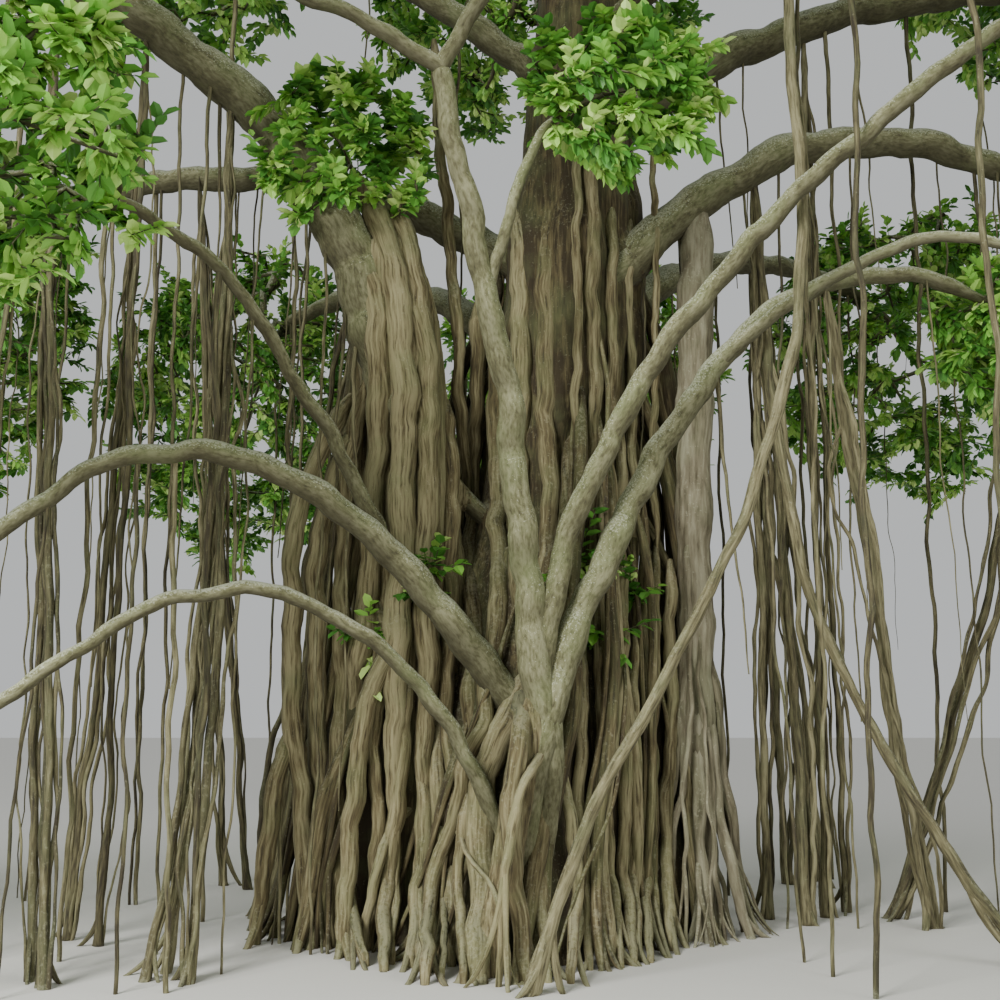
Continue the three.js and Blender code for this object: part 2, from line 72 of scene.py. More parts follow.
def newMaterial(name):
    material = bpy.data.materials.new(name)
    material.use_nodes = True
    return material, material.node_tree.nodes["Principled BSDF"]


def linkObject(name, data):
    made = bpy.data.objects.new(name, data)
    bpy.context.scene.collection.objects.link(made)
    return made


cameraValues = {
    "place": (0.0, -9.6, 1.6),  # eye height
    "tilt": 9.37,  # degrees above level
    "lens": 45.36,
    "sensor": 36.0,
    "pixels": 1000,
    "farthest": 200,
}

camera = linkObject("camera", bpy.data.cameras.new("camera"))
camera.location = cameraValues["place"]
camera.rotation_euler = Euler((math.radians(90 + cameraValues["tilt"]), 0, 0))
camera.data.lens = cameraValues["lens"]
camera.data.sensor_width = cameraValues["sensor"]
camera.data.clip_end = cameraValues["farthest"]
bpy.context.scene.camera = camera

studioValues = {
    "floorSide": 120.0,
    "floorColour": "#dcdad3",
    "floorRough": 0.9,
    "skyColour": "#f2f5f6",
    "skyStrength": 0.65,
    "lampAim": (0.0, 0.0, 3.0),
    "lampSide": 5.0,
    "keyPlace": (-7.0, -12.0, 8.0),
    "keyPower": 2800.0,
    "fillPlace": (9.0, -10.0, 5.0),
    "fillPower": 500.0,
}


def makeStudio():
    side = studioValues["floorSide"] / 2
    corners = [(x * side, y * side, 0) for x, y in ((-1, -1), (1, -1), (1, 1), (-1, 1))]
    mesh = bpy.data.meshes.new("floor")
    mesh.from_pydata(corners, [], [(0, 1, 2, 3)])
    floor = linkObject("floor", mesh)
    paper, shader = newMaterial("studioPaper")
    shader.inputs["Base Color"].default_value = fromHex(studioValues["floorColour"])
    shader.inputs["Roughness"].default_value = studioValues["floorRough"]
    mesh.materials.append(paper)
    world = bpy.data.worlds.new("softSky")
    world.use_nodes = True
    sky = world.node_tree.nodes["Background"]
    sky.inputs["Color"].default_value = fromHex(studioValues["skyColour"])
    sky.inputs["Strength"].default_value = studioValues["skyStrength"]
    bpy.context.scene.world = world
    for name in ("key", "fill"):
        lamp = bpy.data.lights.new(name, "AREA")
        lamp.size = studioValues["lampSide"]
        lamp.energy = studioValues[name + "Power"]
        light = linkObject(name, lamp)
        light.location = studioValues[name + "Place"]
        aim = Vector(studioValues["lampAim"]) - light.location
        light.rotation_euler = aim.to_track_quat("-Z", "Y").to_euler()


makeStudio()
print("studio ready")


def rowsOf(columns, rows):
    # a table's rows as dictionaries, under the names of its columns
    return {name: dict(zip(columns, row)) for name, row in rows.items()}


# The limbs, in the source's named sizes: a limb runs from start to end as an arc that leaves the straight
# line by half its arch and turn, in degrees, and sway and lean bend it once more
trunkStems = [dict(zip(("start", "end", "arch", "radii", "carries"), row)) for row in (
    ((0, 0, -0.15), (0.64, 0, 7.5), -10, (1.48, 1.33, 1.15, 0.9, 0.65, 0.55, 0.53, 0.46, 0.36, 0.3), None),
    ((0.64, 0, 7.3), (0.45, 0.15, 9.1), 8, (0.29, 0.23, 0.18), "leader_top"),
    ((-0.98, -0.15, -0.15), (-0.59, -0.4, 2.75), 0, (0.86, 0.69, 0.56, 0.4), None),
    ((-0.59, -0.4, 2.5), (-0.86, -0.56, 5), 10, (0.4, 0.35, 0.33, 0.25), "left_stem"),
    ((0.98, 0.15, -0.15), (0.7, 0, 2.9), 0, (0.82, 0.62, 0.51, 0.38), None),
    ((0.08, -0.88, -0.15), (0.28, -0.48, 2.7), 0, (0.82, 0.65, 0.54, 0.38), None),
    ((-0.56, 0.95, -0.15), (0.12, 0.33, 3.7), 0, (0.78, 0.6, 0.46, 0.34, 0.26), None),
    ((0.72, 0.98, -0.15), (0.62, 0.32, 4.6), 0, (0.74, 0.56, 0.42, 0.3, 0.22), None),
    ((-0.11, -1.6, -0.15), (0.27, -1.5, 1.95), 0, (0.27, 0.19, 0.17, 0.175), None),
)]

boughs = rowsOf(("start", "end", "arch", "turn", "sway", "lean", "butt", "tip"), {
    "bough_left_high": ((-0.74, -0.58, 3.76), (-5.1, -1.8, 7.6), 50, 1, 8, -20, 0.25, 0.08),
    "bough_right_back": ((0.64, -0.3, 4.7), (5, 0.3, 5.76), 56, -4, 12, 0, 0.18, 0.105),
    "bough_right_top": ((0.6, -0.12, 6.06), (4.7, 0.9, 8), 18, 9, 4, 0, 0.185, 0.1),
    "bough_left_arch_rise": ((0.08, -1, 1.64), (-2.3, -2.1, 3.12), 64, -7, 1, 20, 0.13, 0.063),
    "bough_left_arch_fall": ((-2.3, -2.1, 3.12), (-4.6, -2.96, 2.2), -14, 26, -15, 3, 0.062, 0.04),
    "bough_left_low_rise": ((-0.06, -1.3, 0.95), (-1.5, -2.1, 2.34), 54, -8, 1, 0, 0.062, 0.047),
    "bough_left_low_fall": ((-1.5, -2.1, 2.34), (-3.9, -2.9, -0.15), 68, 8, -4, 0, 0.046, 0.04),
    "bough_left_rising": ((-0.52, -0.66, 2.22), (-2.5, -2.5, 4.62), 79, 27, -6, 30, 0.07, 0.04),
    "bough_front": ((0.28, -1.5, 1.56), (-0.38, -2.1, 5.7), -2, 18, 7, 0, 0.118, 0.07),
    "bough_front_left": ((-0.37, -2.09, 5.64), (-1.9, -2.7, 6.2), 12, 4, -1, 0, 0.062, 0.044),
    "bough_front_right": ((-0.38, -2.1, 5.66), (0.36, -2.5, 6.9), 11, -5, -8, 0, 0.06, 0.042),
    "bough_front_side": ((-0.06, -1.92, 4.24), (0.26, -1.76, 5.34), 8, -6, 1, 0, 0.05, 0.034),
    "bough_right_low": ((0.26, -1.5, 1.4), (3.24, -0.9, 4.6), 95, -10, -7, 29, 0.116, 0.06),
    "bough_right_high": ((0.24, -1.5, 1.66), (4.8, -2.7, 6.7), 62, 6, -1, -12, 0.086, 0.05),
    "bough_right_thin": ((1.56, -1.22, 3.9), (4.2, -1.8, 4.3), 75, 0, 8, 0, 0.056, 0.034),
    "bough_front_high": ((0.66, -0.12, 6.7), (2.9, -3.4, 7.6), 30, -14, 0, 0, 0.125, 0.062),
    "bough_back_right": ((0.64, 0.12, 4.3), (3.5, 3.1, 6), 50, -10, 0, 0, 0.175, 0.085),
    "bough_back": ((0.58, 0.12, 5.2), (0.9, 4.7, 6.2), 58, 15, 0, 0, 0.165, 0.085),
    "bough_back_left": ((0.36, 0.15, 4), (-2.2, 3.9, 5.9), 50, 12, 0, 0, 0.175, 0.085),
    "bough_left_back": ((0.42, 0.06, 4.9), (-4.3, 1.6, 6.1), 52, -14, 0, 0, 0.165, 0.085),
    "leader_left": ((0.6, 0, 6.4), (-1.9, 0.4, 8.2), 30, 10, 0, 0, 0.15, 0.08),
    "leader_back": ((0.64, 0.02, 7), (0.45, 2.1, 8.4), 20, 0, 0, 0, 0.135, 0.08),
    "leader_right": ((0.62, 0, 7.5), (1.9, -1, 8.7), 14, 0, 0, 0, 0.12, 0.075),
})

propRoots = rowsOf(("from", "at", "feet", "arch", "turn", "sway", "lean", "thick"), {
    "pillar_right": ("bough_right_back", 0.26, ((1.47, -0.2),), 6, 0, 0, 0, 0.172),
    "roots_left_front": ("bough_left_high", 0.66, ((-2.62, -2), (-2.78, -1.78)), -14, -30, 0, 0, 0.04),
    "roots_left_mid": ("bough_left_high", 0.55, ((-3.04, -0.4), (-2.74, -0.62)), -12, 0, 0, 0, 0.042),
    "roots_left_near": ("bough_left_high", 0.43, ((-1.84, -1.86), (-2.05, -1.56), (-2.12, -1.8)), -16,
        -30, 0, 0, 0.046),
    "roots_left_back": ("bough_left_back", 0.66, ((-2.52, 2.36), (-2.25, 2.1)), 0, 0, 0, 0, 0.048),
    "roots_stem_left": ("bough_left_back", 0.34, ((-1.79, -0.02), (-1.92, 0.52), (-1.48, 0.66)), -8, 0,
        0, 0, 0.062),
    "roots_right_inner": ("bough_right_back", 0.37, ((2.3, 0.21), (2.06, 0.48)), 4, 0, 0, 0, 0.058),
    "roots_right_outer": ("bough_right_top", 0.5, ((2.52, 0.56), (2.76, 0.82)), 0, 0, 0, 0, 0.044),
    "roots_lean_front": ("bough_right_low", 0.7, ((3.5, -1.4),), -43, 7, -1, 0, 0.058),
    "roots_lean_back": ("bough_right_low", 0.8, ((3.24, 0.12),), 1, -10, 0, 0, 0.066),
    "roots_cross": ("bough_right_back", 0.92, ((2.96, 0.52),), -12, 0, 0, 0, 0.056),
    "root_pole": ("bough_front_high", 0.54, ((0.14, -2.12),), -7, -22, -14, 8, 0.06),
    "roots_back_left": ("bough_back_left", 0.72, ((-1.95, 3.3), (-1.65, 3.56)), 0, 0, 0, 0, 0.052),
    "roots_back_right": ("bough_back_right", 0.68, ((2.65, 2.45), (2.95, 2.2)), 0, 0, 0, 0, 0.052),
})

masses = rowsOf(("on", "centre", "reach"), {
    "leaves_left": ("bough_left_high", (-6.2, -2, 6.9), (2, 2.2, 2)),
    "leaves_left_low": ("bough_left_arch_fall", (-5.8, -3.3, 2.9), (1.55, 1.45, 1.3)),
    "leaves_left_near": ("bough_left_rising", (-3, -3.9, 4.45), (1.7, 1.6, 1.3)),
    "leaves_left_stem": ("left_stem", (-1.15, -0.9, 5.65), (0.9, 0.8, 0.85)),
    "leaves_centre": ("bough_front_side", (0.8, -1.75, 5.65), (0.95, 0.7, 0.8)),
    "leaves_right_low": ("bough_right_low", (3.95, -0.6, 4.35), (1, 0.9, 0.8)),
    "leaves_right_thin": ("bough_right_thin", (5, -2, 4.2), (1, 0.9, 0.9)),
    "leaves_right_front": ("bough_right_high", (6, -3, 6.5), (1.7, 1.9, 1.7)),
    "leaves_right": ("bough_right_back", (6.32, 0.68, 5.42), (1.9, 2, 2)),
    "leaves_right_high": ("bough_right_top", (5.4, 1.6, 9), (2, 2, 1.7)),
    "leaves_front_left": ("bough_front_left", (-2.6, -3.7, 7), (1.9, 1.8, 1.5)),
    "leaves_front": ("bough_front_right", (0.5, -3.9, 7.7), (2, 1.8, 1.5)),
    "leaves_front_right": ("bough_front_high", (3.9, -4.5, 7.1), (2, 1.9, 1.6)),
    "leaves_back_right": ("bough_back_right", (4.7, 4.3, 5.6), (2.2, 2.1, 2.1)),
    "leaves_back": ("bough_back", (1, 6.1, 5.7), (2.3, 1.9, 2.2)),
    "leaves_back_left": ("bough_back_left", (-3, 5.2, 5.2), (2.2, 2.1, 2.4)),
    "leaves_left_back": ("bough_left_back", (-5.7, 2.2, 5.4), (2.2, 2.2, 2.3)),
    "leaves_mid_left": ("leader_left", (-3, 0.7, 9), (2.2, 2.3, 1.8)),
    "leaves_mid_back": ("leader_back", (0.4, 3.3, 9.3), (2.3, 2.1, 1.8)),
    "leaves_mid_right": ("leader_right", (2.7, -1.6, 9.6), (2.2, 2, 1.7)),
    "leaves_top": ("leader_top", (0.3, 0.3, 10.3), (2.3, 2.3, 1.5)),
})


def seeded(seed):
    return np.random.default_rng(seed)


def between(pair, random, power=1):
    # a random value between two, closer to the first where the power is above 1
    return pair[0] + (pair[1] - pair[0]) * random.random() ** power


def curved(start, knee, end, t):
    # a bend from start to end that is drawn towards the knee
    t = t[:, None]
    return (1 - t) ** 2 * start + 2 * t * (1 - t) * knee + t ** 2 * end


def pointAt(at, run, points):
    # the point of a line where its run, or its height, has this value
    return np.array([np.interp(at, run, points[:, axis]) for axis in range(3)])


def pushed(points, angle, away):
    # the same line, moved sideways
    points = points.copy()
    points[:, 0] += np.cos(angle) * away
    points[:, 1] += np.sin(angle) * away
    return points


def heading(angle):
    return np.array([math.cos(angle), math.sin(angle)])


def nearGround(heights, reach):
    # 1 at the ground, fading upwards
    return np.exp(-np.maximum(heights, 0) / reach)


def centreLine(limb, steps):
    start, end = np.array(limb["start"], float), np.array(limb["end"], float)
    chord = end - start
    length = np.linalg.norm(chord)
    along = math.atan2(chord[1], chord[0])
    climb = math.asin(chord[2] / length)
    bend, swing, wave, swell = (math.radians(limb.get(key, 0)) for key in ("arch", "turn", "sway", "lean"))
    t = (np.arange(steps) + 0.5) / steps
    around = along + swing * (t - 0.5)
    up = climb + bend * (0.5 - t) + wave * np.sin(2 * np.pi * t) + swell * (np.sin(np.pi * t) - 2 / np.pi)
    ways = np.stack([np.cos(up) * np.cos(around), np.cos(up) * np.sin(around), np.sin(up)], 1)
    walk = np.vstack([np.zeros(3), np.cumsum(ways, 0)])
    line = start + walk * length / np.linalg.norm(walk[-1])
    return line + np.linspace(0, 1, steps + 1)[:, None] * (end - line[-1])


def evenList(values, t):
    return np.interp(t, np.linspace(0, 1, len(values)), values)


def lengths(points):
    return np.concatenate([[0], np.cumsum(np.linalg.norm(np.diff(points, axis=0), axis=1))])


def evenSteps(points, step):
    run = lengths(points)
    count = max(3, int(round(run[-1] / step)))
    at = np.linspace(0, run[-1], count + 1)
    return np.stack([np.interp(at, run, points[:, axis]) for axis in range(3)], 1)


def smoothed(values, passes):
    values = values.copy()
    for _ in range(passes):
        values[1:-1] = (values[:-2] + 2 * values[1:-1] + values[2:]) / 4
    return values


def waves(run, size, random):
    # a smooth random curve along a run, three sines of about this size
    total = np.zeros_like(run)
    for share in (1.0, 0.55, 0.3):
        total += share * np.sin(2 * np.pi * run / (size * share) + random.uniform(0, 2 * np.pi))
    return total / 1.85


def uneven(thick, run, amount, size, random):
    # a radius or distance that comes and goes along a run
    return thick * (1 + amount * waves(run, size, random))


def wandered(points, amount, size, random):
    # moves a line's inner points sideways by smooth waves and leaves its ends
    run = lengths(points)
    fade = np.minimum(1, np.minimum(run, run[-1] - run) / (0.5 * size))[:, None]
    shift = np.stack([waves(run, size, random) for _ in range(3)], 1)
    return points + amount * fade * shift


def cutAtGround(points, thick):
    # a strand ends its own radius below the ground, so that its flat cut stays small
    deep = points[:, 2] + thick
    kept = np.flatnonzero(deep > 0)
    first, last = kept[0], kept[-1]
    rows = np.column_stack([points, thick])
    ends = []
    for inside, outside in ((first, first - 1), (last, last + 1)):
        if 0 <= outside < len(rows):
            share = deep[inside] / (deep[inside] - deep[outside])
            ends.append(rows[inside] + share * (rows[outside] - rows[inside]))
        else:
            ends.append(rows[inside])
    rows = rows[first:last + 1].copy()
    rows = np.vstack([ends[:1], rows] if first > 0 else [rows])
    rows = np.vstack([rows, ends[1:]] if last < len(points) - 1 else [rows])
    return rows[:, :3], rows[:, 3]


def makeStrand(points, thick, tone=0.5, random=None):
    shift = random.uniform(-20, 20, 3) if random else np.zeros(3)
    points, thick = cutAtGround(points, np.broadcast_to(thick, len(points)).astype(float))
    return {"points": points, "thick": thick, "tone": tone, "shift": shift}


def pointMesh(name, points, columns):
    # a mesh of loose points with a named value or vector for each
    mesh = bpy.data.meshes.new(name)
    mesh.vertices.add(len(points))
    mesh.vertices.foreach_set("co", points.ravel().astype(np.float32))
    for key, values in columns.items():
        kind, field = ("FLOAT", "value") if values.ndim == 1 else ("FLOAT_VECTOR", "vector")
        mesh.attributes.new(key, kind, "POINT").data.foreach_set(field, values.ravel().astype(np.float32))
    return mesh


def strandMesh(name, strands):
    # one chain of edges for each strand, with its radius, run, tone and pattern shift at each point
    sizes = [len(strand["points"]) for strand in strands]
    mesh = pointMesh(name, np.concatenate([strand["points"] for strand in strands]), {
        "thick": np.concatenate([strand["thick"] for strand in strands]),
        "along": np.concatenate([lengths(strand["points"]) for strand in strands]),
        "tone": np.repeat([strand["tone"] for strand in strands], sizes),
        "shift": np.repeat([strand["shift"] for strand in strands], sizes, axis=0)})
    firsts = np.cumsum([0] + sizes[:-1])
    edges = np.concatenate([np.stack([np.arange(n - 1), np.arange(1, n)], 1) + first
                            for n, first in zip(sizes, firsts)])
    mesh.edges.add(len(edges))
    mesh.edges.foreach_set("vertices", edges.ravel().astype(np.int32))
    mesh.update()
    return mesh


def newGrower(name, sizes):
    # a Geometry Nodes tree with a geometry input and the named inputs
    tree = bpy.data.node_groups.new(name, "GeometryNodeTree")
    tree.interface.new_socket("Geometry", in_out="INPUT", socket_type="NodeSocketGeometry")
    tree.interface.new_socket("Geometry", in_out="OUTPUT", socket_type="NodeSocketGeometry")
    for label, value in sizes.items():
        kind = {int: "Int", float: "Float", str: value}[type(value)]
        socket = tree.interface.new_socket(label, in_out="INPUT", socket_type="NodeSocket" + kind)
        if not isinstance(value, str):
            socket.default_value = value
    return tree, tree.nodes.new("NodeGroupInput").outputs


def grow(name, mesh, tree, sizes):
    # runs a tree on a mesh and keeps the result as a plain mesh
    piece = linkObject(name, mesh)
    grower = piece.modifiers.new("grower", "NODES")
    grower.node_group = tree
    for item in tree.interface.items_tree:
        if item.in_out == "INPUT" and item.name in sizes:
            grower[item.identifier] = sizes[item.name]
    return settled(piece)


def settled(piece):
    graph = bpy.context.evaluated_depsgraph_get()
    plain = bpy.data.meshes.new_from_object(piece.evaluated_get(graph), depsgraph=graph)
    plain.name = piece.name
    piece.modifiers.clear()
    piece.data = plain
    return piece


def offsetAlong(tree, geometry, place, strength, size, detail):
    # moves a surface in and out by noise of a given size and strength
    noise = addNode(tree, "ShaderNodeTexNoise", {
        "Vector": place, "Scale": size, "Detail": detail, "Roughness": 0.55})
    middle = addNode(tree, "ShaderNodeMath", {0: noise, 1: 0.5}, operation="SUBTRACT")
    amount = addNode(tree, "ShaderNodeMath", {0: middle, 1: strength}, operation="MULTIPLY")
    normal = addNode(tree, "GeometryNodeInputNormal")
    move = addNode(tree, "ShaderNodeVectorMath", {0: normal, "Scale": amount}, operation="SCALE")
    return addNode(tree, "GeometryNodeSetPosition", {"Geometry": geometry, "Offset": move})


def finishGrower(tree, geometry, material):
    # keeps the surface above the ground, shades it smooth and gives it its bark
    parts = addNode(tree, "ShaderNodeSeparateXYZ", {0: addNode(tree, "GeometryNodeInputPosition")}).outputs
    height = addNode(tree, "ShaderNodeMath", {0: parts["Z"], 1: 0.0}, operation="MAXIMUM")
    place = addNode(tree, "ShaderNodeCombineXYZ", {"X": parts["X"], "Y": parts["Y"], "Z": height})
    cut = addNode(tree, "GeometryNodeSetPosition", {"Geometry": geometry, "Position": place})
    smooth = addNode(tree, "GeometryNodeSetShadeSmooth", {"Geometry": cut})
    real = addNode(tree, "GeometryNodeRealizeInstances", {"Geometry": smooth})
    dressed = addNode(tree, "GeometryNodeSetMaterial", {"Geometry": real, "Material": material})
    addNode(tree, "NodeGroupOutput", {"Geometry": dressed})


def makeLimbGrower():
    # a tube along each chain of edges, with ridges that run along it and swellings across it
    tree, given = newGrower("limbGrower", {
        "Sides": 12, "Ridge depth": 0.2, "Ridge count": 2.0, "Stretch": 0.12, "Swelling": 0.15,
        "Material": "Material"})
    curve = addNode(tree, "GeometryNodeMeshToCurve", {"Mesh": given["Geometry"]})
    circle = addNode(tree, "GeometryNodeCurvePrimitiveCircle", {"Resolution": given["Sides"], "Radius": 1.0})
    position = addNode(tree, "GeometryNodeInputPosition")
    rim = addNode(tree, "GeometryNodeStoreNamedAttribute", {
        "Geometry": circle, "Name": "rim", "Value": position}, data_type="FLOAT_VECTOR")
    thick, along = (addNode(tree, "GeometryNodeInputNamedAttribute", {"Name": key})
                    for key in ("thick", "along"))
    shift, edge = (addNode(tree, "GeometryNodeInputNamedAttribute", {"Name": key}, data_type="FLOAT_VECTOR")
                   for key in ("shift", "rim"))
    tube = addNode(tree, "GeometryNodeCurveToMesh", {
        "Curve": curve, "Profile Curve": rim, "Scale": thick, "Fill Caps": True})
    # barkPlace is the limb laid out straight: across its section, and up along its run
    across = addNode(tree, "ShaderNodeVectorMath", {0: edge, "Scale": thick}, operation="SCALE")
    upward = addNode(tree, "ShaderNodeCombineXYZ", {"Z": along})
    straight = addNode(tree, "ShaderNodeVectorMath", {0: across, 1: upward})
    laid = addNode(tree, "ShaderNodeVectorMath", {0: straight, 1: shift})
    kept = addNode(tree, "GeometryNodeStoreNamedAttribute", {
        "Geometry": tube, "Name": "barkPlace", "Value": laid}, data_type="FLOAT_VECTOR")
    # ridges keep their number round the limb, whatever its radius
    turned = addNode(tree, "ShaderNodeVectorMath", {
        0: edge, "Scale": given["Ridge count"]}, operation="SCALE")
    drawn = addNode(tree, "ShaderNodeMath", {0: along, 1: given["Stretch"]}, operation="MULTIPLY")
    lifted = addNode(tree, "ShaderNodeCombineXYZ", {"Z": drawn})
    both = addNode(tree, "ShaderNodeVectorMath", {0: turned, 1: lifted})
    ridgePlace = addNode(tree, "ShaderNodeVectorMath", {0: both, 1: shift})
    depth = addNode(tree, "ShaderNodeMath", {0: thick, 1: given["Ridge depth"]}, operation="MULTIPLY")
    swell = addNode(tree, "ShaderNodeMath", {0: thick, 1: given["Swelling"]}, operation="MULTIPLY")
    ridged = offsetAlong(tree, kept, ridgePlace, depth, 1.0, 2.0)
    swollen = offsetAlong(tree, ridged, laid, swell, 5.0, 1.0)
    finishGrower(tree, swollen, given["Material"])
    return tree


barkValues = {  # fibre width, patch, crust and relief are millimetres; the rest are shares
    # bough bark: thin and smooth, grey olive, with pale lichen crusts and a green algae film on top, and
    # painted shade underneath
    "figBoughBark": {
        "fibres": ((0.2, "#464329"), (0.5, "#6e6d4b"), (0.82, "#939270")), "shade": "#332d1c",
        "algae": "#6a7448", "algaeShare": 0.45, "lichen": "#b9bba4", "lichenShare": 0.42, "lines": 0.28,
        "under": 0.76, "rough": 0.86, "stretch": 0.4, "fibreWidth": 7, "patch": 420,
        "crust": 13, "relief": 4},
    # trunk and clinging roots: fibrous, browner, with long streaks and little lichen
    "figRootBark": {
        "fibres": ((0.2, "#372e19"), (0.5, "#62583a"), (0.82, "#948c68")), "shade": "#1c160c",
        "algae": "#616a42", "algaeShare": 0.4, "lichen": "#b0af94", "lichenShare": 0.14, "lines": 0.55,
        "under": 0.2, "rough": 0.9, "stretch": 0.08, "fibreWidth": 6, "patch": 380,
        "crust": 24, "relief": 4},
    # the pillar: an old root with a smooth tight skin, paler and with hardly a line in it
    "figPillarBark": {
        "fibres": ((0.2, "#4f4833"), (0.5, "#78715a"), (0.82, "#9a957c")), "shade": "#2a2316",
        "algae": "#6c7551", "algaeShare": 0.3, "lichen": "#b4b49b", "lichenShare": 0.2, "lines": 0.16,
        "under": 0.2, "rough": 0.88, "stretch": 0.14, "fibreWidth": 11, "patch": 420,
        "crust": 26, "relief": 3},
    # free hanging roots: thin dark cork over tight fibres
    "figHangingRootBark": {
        "fibres": ((0.2, "#373120"), (0.5, "#605a3e"), (0.82, "#8a8463")), "shade": "#201a10",
        "algae": "#596240", "algaeShare": 0.34, "lichen": "#a9a98d", "lichenShare": 0.16, "lines": 0.5,
        "under": 0.2, "rough": 0.9, "stretch": 0.1, "fibreWidth": 5, "patch": 300,
        "crust": 22, "relief": 3},
}


def makeBark(name):
    look = barkValues[name]
    material, shader = newMaterial(name)
    tree = material.node_tree
    place = addNode(tree, "ShaderNodeAttribute", attribute_name="barkPlace").outputs["Vector"]
    tone = addNode(tree, "ShaderNodeAttribute", attribute_name="tone").outputs["Fac"]
    drawn = addNode(tree, "ShaderNodeMapping", {"Vector": place, "Scale": (1, 1, look["stretch"])})
    # noise by the real size of what it draws, in millimetres
    fine, broad, patch, spots = (
        addNode(tree, "ShaderNodeTexNoise", {"Vector": where, "Scale": 1000 / size, "Detail": detail,
                                             "Roughness": rough})
        for where, size, detail, rough in (
            (drawn, 3 * look["fibreWidth"], 5, 0.62), (drawn, 12 * look["fibreWidth"], 3, 0.5),
            (place, look["patch"], 4, 0.6), (place, look["crust"], 5, 0.7)))
    both = addNode(tree, "ShaderNodeMix", {0: 0.42, 2: fine, 3: broad}, data_type="FLOAT")
    lifted = addNode(tree, "ShaderNodeMath", {0: tone, 1: 0.5, 2: -0.25}, operation="MULTIPLY_ADD")
    spread = addNode(tree, "ShaderNodeMapRange", {"Value": both, "From Min": 0.25, "From Max": 0.75})
    level = addNode(tree, "ShaderNodeMath", {0: spread, 1: lifted}, operation="ADD")
    colour = addNode(tree, "ShaderNodeValToRGB", {"Fac": level}, stops=look["fibres"])
    # algae and lichen settle on the sides that face up
    normal = addNode(tree, "ShaderNodeNewGeometry").outputs["Normal"]
    upward = addNode(tree, "ShaderNodeSeparateXYZ", {0: normal}).outputs["Z"]
    top = addNode(tree, "ShaderNodeMapRange", {
        "Value": upward, "From Min": -0.5, "From Max": 0.9, "To Min": -0.12, "To Max": 0.2})
    damp = addNode(tree, "ShaderNodeMath", {0: patch, 1: top}, operation="ADD")
    dry = addNode(tree, "ShaderNodeMath", {0: top, 1: 1.2, 2: spots}, operation="MULTIPLY_ADD")
    # each coat lies over the last: what it follows, where it starts and is full, its share and its colour
    coats = (
        (upward, 0.25, -0.65, look["under"], "shade"),  # painted shade on the side that faces down
        (damp, 0.46, 0.68, look["algaeShare"], "algae"),
        (dry, 0.6, 0.68, look["lichenShare"] * 1.6, "lichen"),
        (fine, 0.43, 0.3, look["lines"], "shade"),  # the narrow dark lines between fibres
        (tone, 0.0, -1.0, 0.9, "shade"),  # a tone below zero mixes in painted shade, as on the wall behind the roots
    )
    for follows, start, full, share, coat in coats:
        cover = addNode(tree, "ShaderNodeMapRange", {
            "Value": follows, "From Min": start, "From Max": full, "To Max": share})
        colour = addNode(tree, "ShaderNodeMix", {
            0: cover, 6: colour, 7: fromHex(look[coat])}, data_type="RGBA")
    rough = addNode(tree, "ShaderNodeMapRange", {
        "Value": spots, "To Min": look["rough"] - 0.12, "To Max": look["rough"] + 0.12})
    height = addNode(tree, "ShaderNodeMath", {0: spots, 1: 0.35, 2: fine}, operation="MULTIPLY_ADD")
    bump = addNode(tree, "ShaderNodeBump", {
        "Height": height, "Strength": 0.8, "Distance": look["relief"] / 1000})
    for label, source in (("Base Color", colour.outputs[2]), ("Roughness", rough.outputs[0]),
                          ("Normal", bump.outputs[0])):
        tree.links.new(source, shader.inputs[label])
    return material


limbGrower = makeLimbGrower()
barks = {name: makeBark(name) for name in barkValues}
pieces = []


def growLimbs(name, strands, sides, tube, bark):
    # tube: ridge depth, ridge count, stretch and swelling
    sizes = dict(zip(("Ridge depth", "Ridge count", "Stretch", "Swelling"), tube))
    sizes.update({"Sides": sides, "Material": barks[bark]})
    return grow(name, strandMesh(name, strands), limbGrower, sizes)


def keepPiece(piece, nodes=()):
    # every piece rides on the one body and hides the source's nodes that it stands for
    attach(piece, "root")
    if nodes:
        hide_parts(*nodes)
    pieces.append(piece)
    return piece


boughLook = {
    "seed": 20,
    "step": 0.05,
    "wander": 0.026,  # how far a bough strays from its arc
    "wanderSize": 1.2,
    "slim": 0.9,  # its share of the source's radius, before its ridges
    "intoLeaves": 0.7,  # it tapers out over this share of the stem inside its leaf mass
    "tail": 1.0,  # metres that it runs on down the trunk as a root does
    "tailThin": 0.3,
    "lowFork": 2.0,  # from a fork below this height it runs on to the ground
    "lowSpread": 0.13,
    "stubFrom": 0.14,  # the trunk swells into boughs that are at least this thick
    "fromBoughs": ("bough_front_left", "bough_front_right", "bough_front_side", "bough_right_thin"),
    "join": 0.5,  # metres over which a bough that grows from another bends to it
    "stemKnee": 0.45,  # how soon and how far the stem inside a leaf mass bends past its centre
    "stemPast": 0.35,
    "stemWander": (0.035, 0.9),
    "girth": (0.07, 0.7),  # how much its radius comes and goes, and over how many metres
    "tone": (0.35, 0.72),
    "palerBelow": 0.05,  # boughs thinner than this have more lichen and look lighter
    "paler": 0.15,
    "fineFrom": 0.09,  # thicker boughs have the second number of sides
    "sides": (14, 22),
    "tube": (0.16, 1.2, 0.8, 0.3),
}
limbLines = {}  # node name to its centre line and radii, for what grows on the limb
tips = {}  # limb name to the end of its own line, its direction and its radius


def stemLine(mass, tip):
    # the stem inside a leaf mass bends from the limb's tip through the mass's centre
    start, way, _ = tip
    centre = np.array(mass["centre"])
    knee = start + way * boughLook["stemKnee"] * np.linalg.norm(centre - start)
    far = centre + boughLook["stemPast"] * (centre - knee)
    line = curved(start, knee, far, np.linspace(0, 1, 25))
    return wandered(line, *boughLook["stemWander"], seeded(int(1000 * abs(centre).sum())))


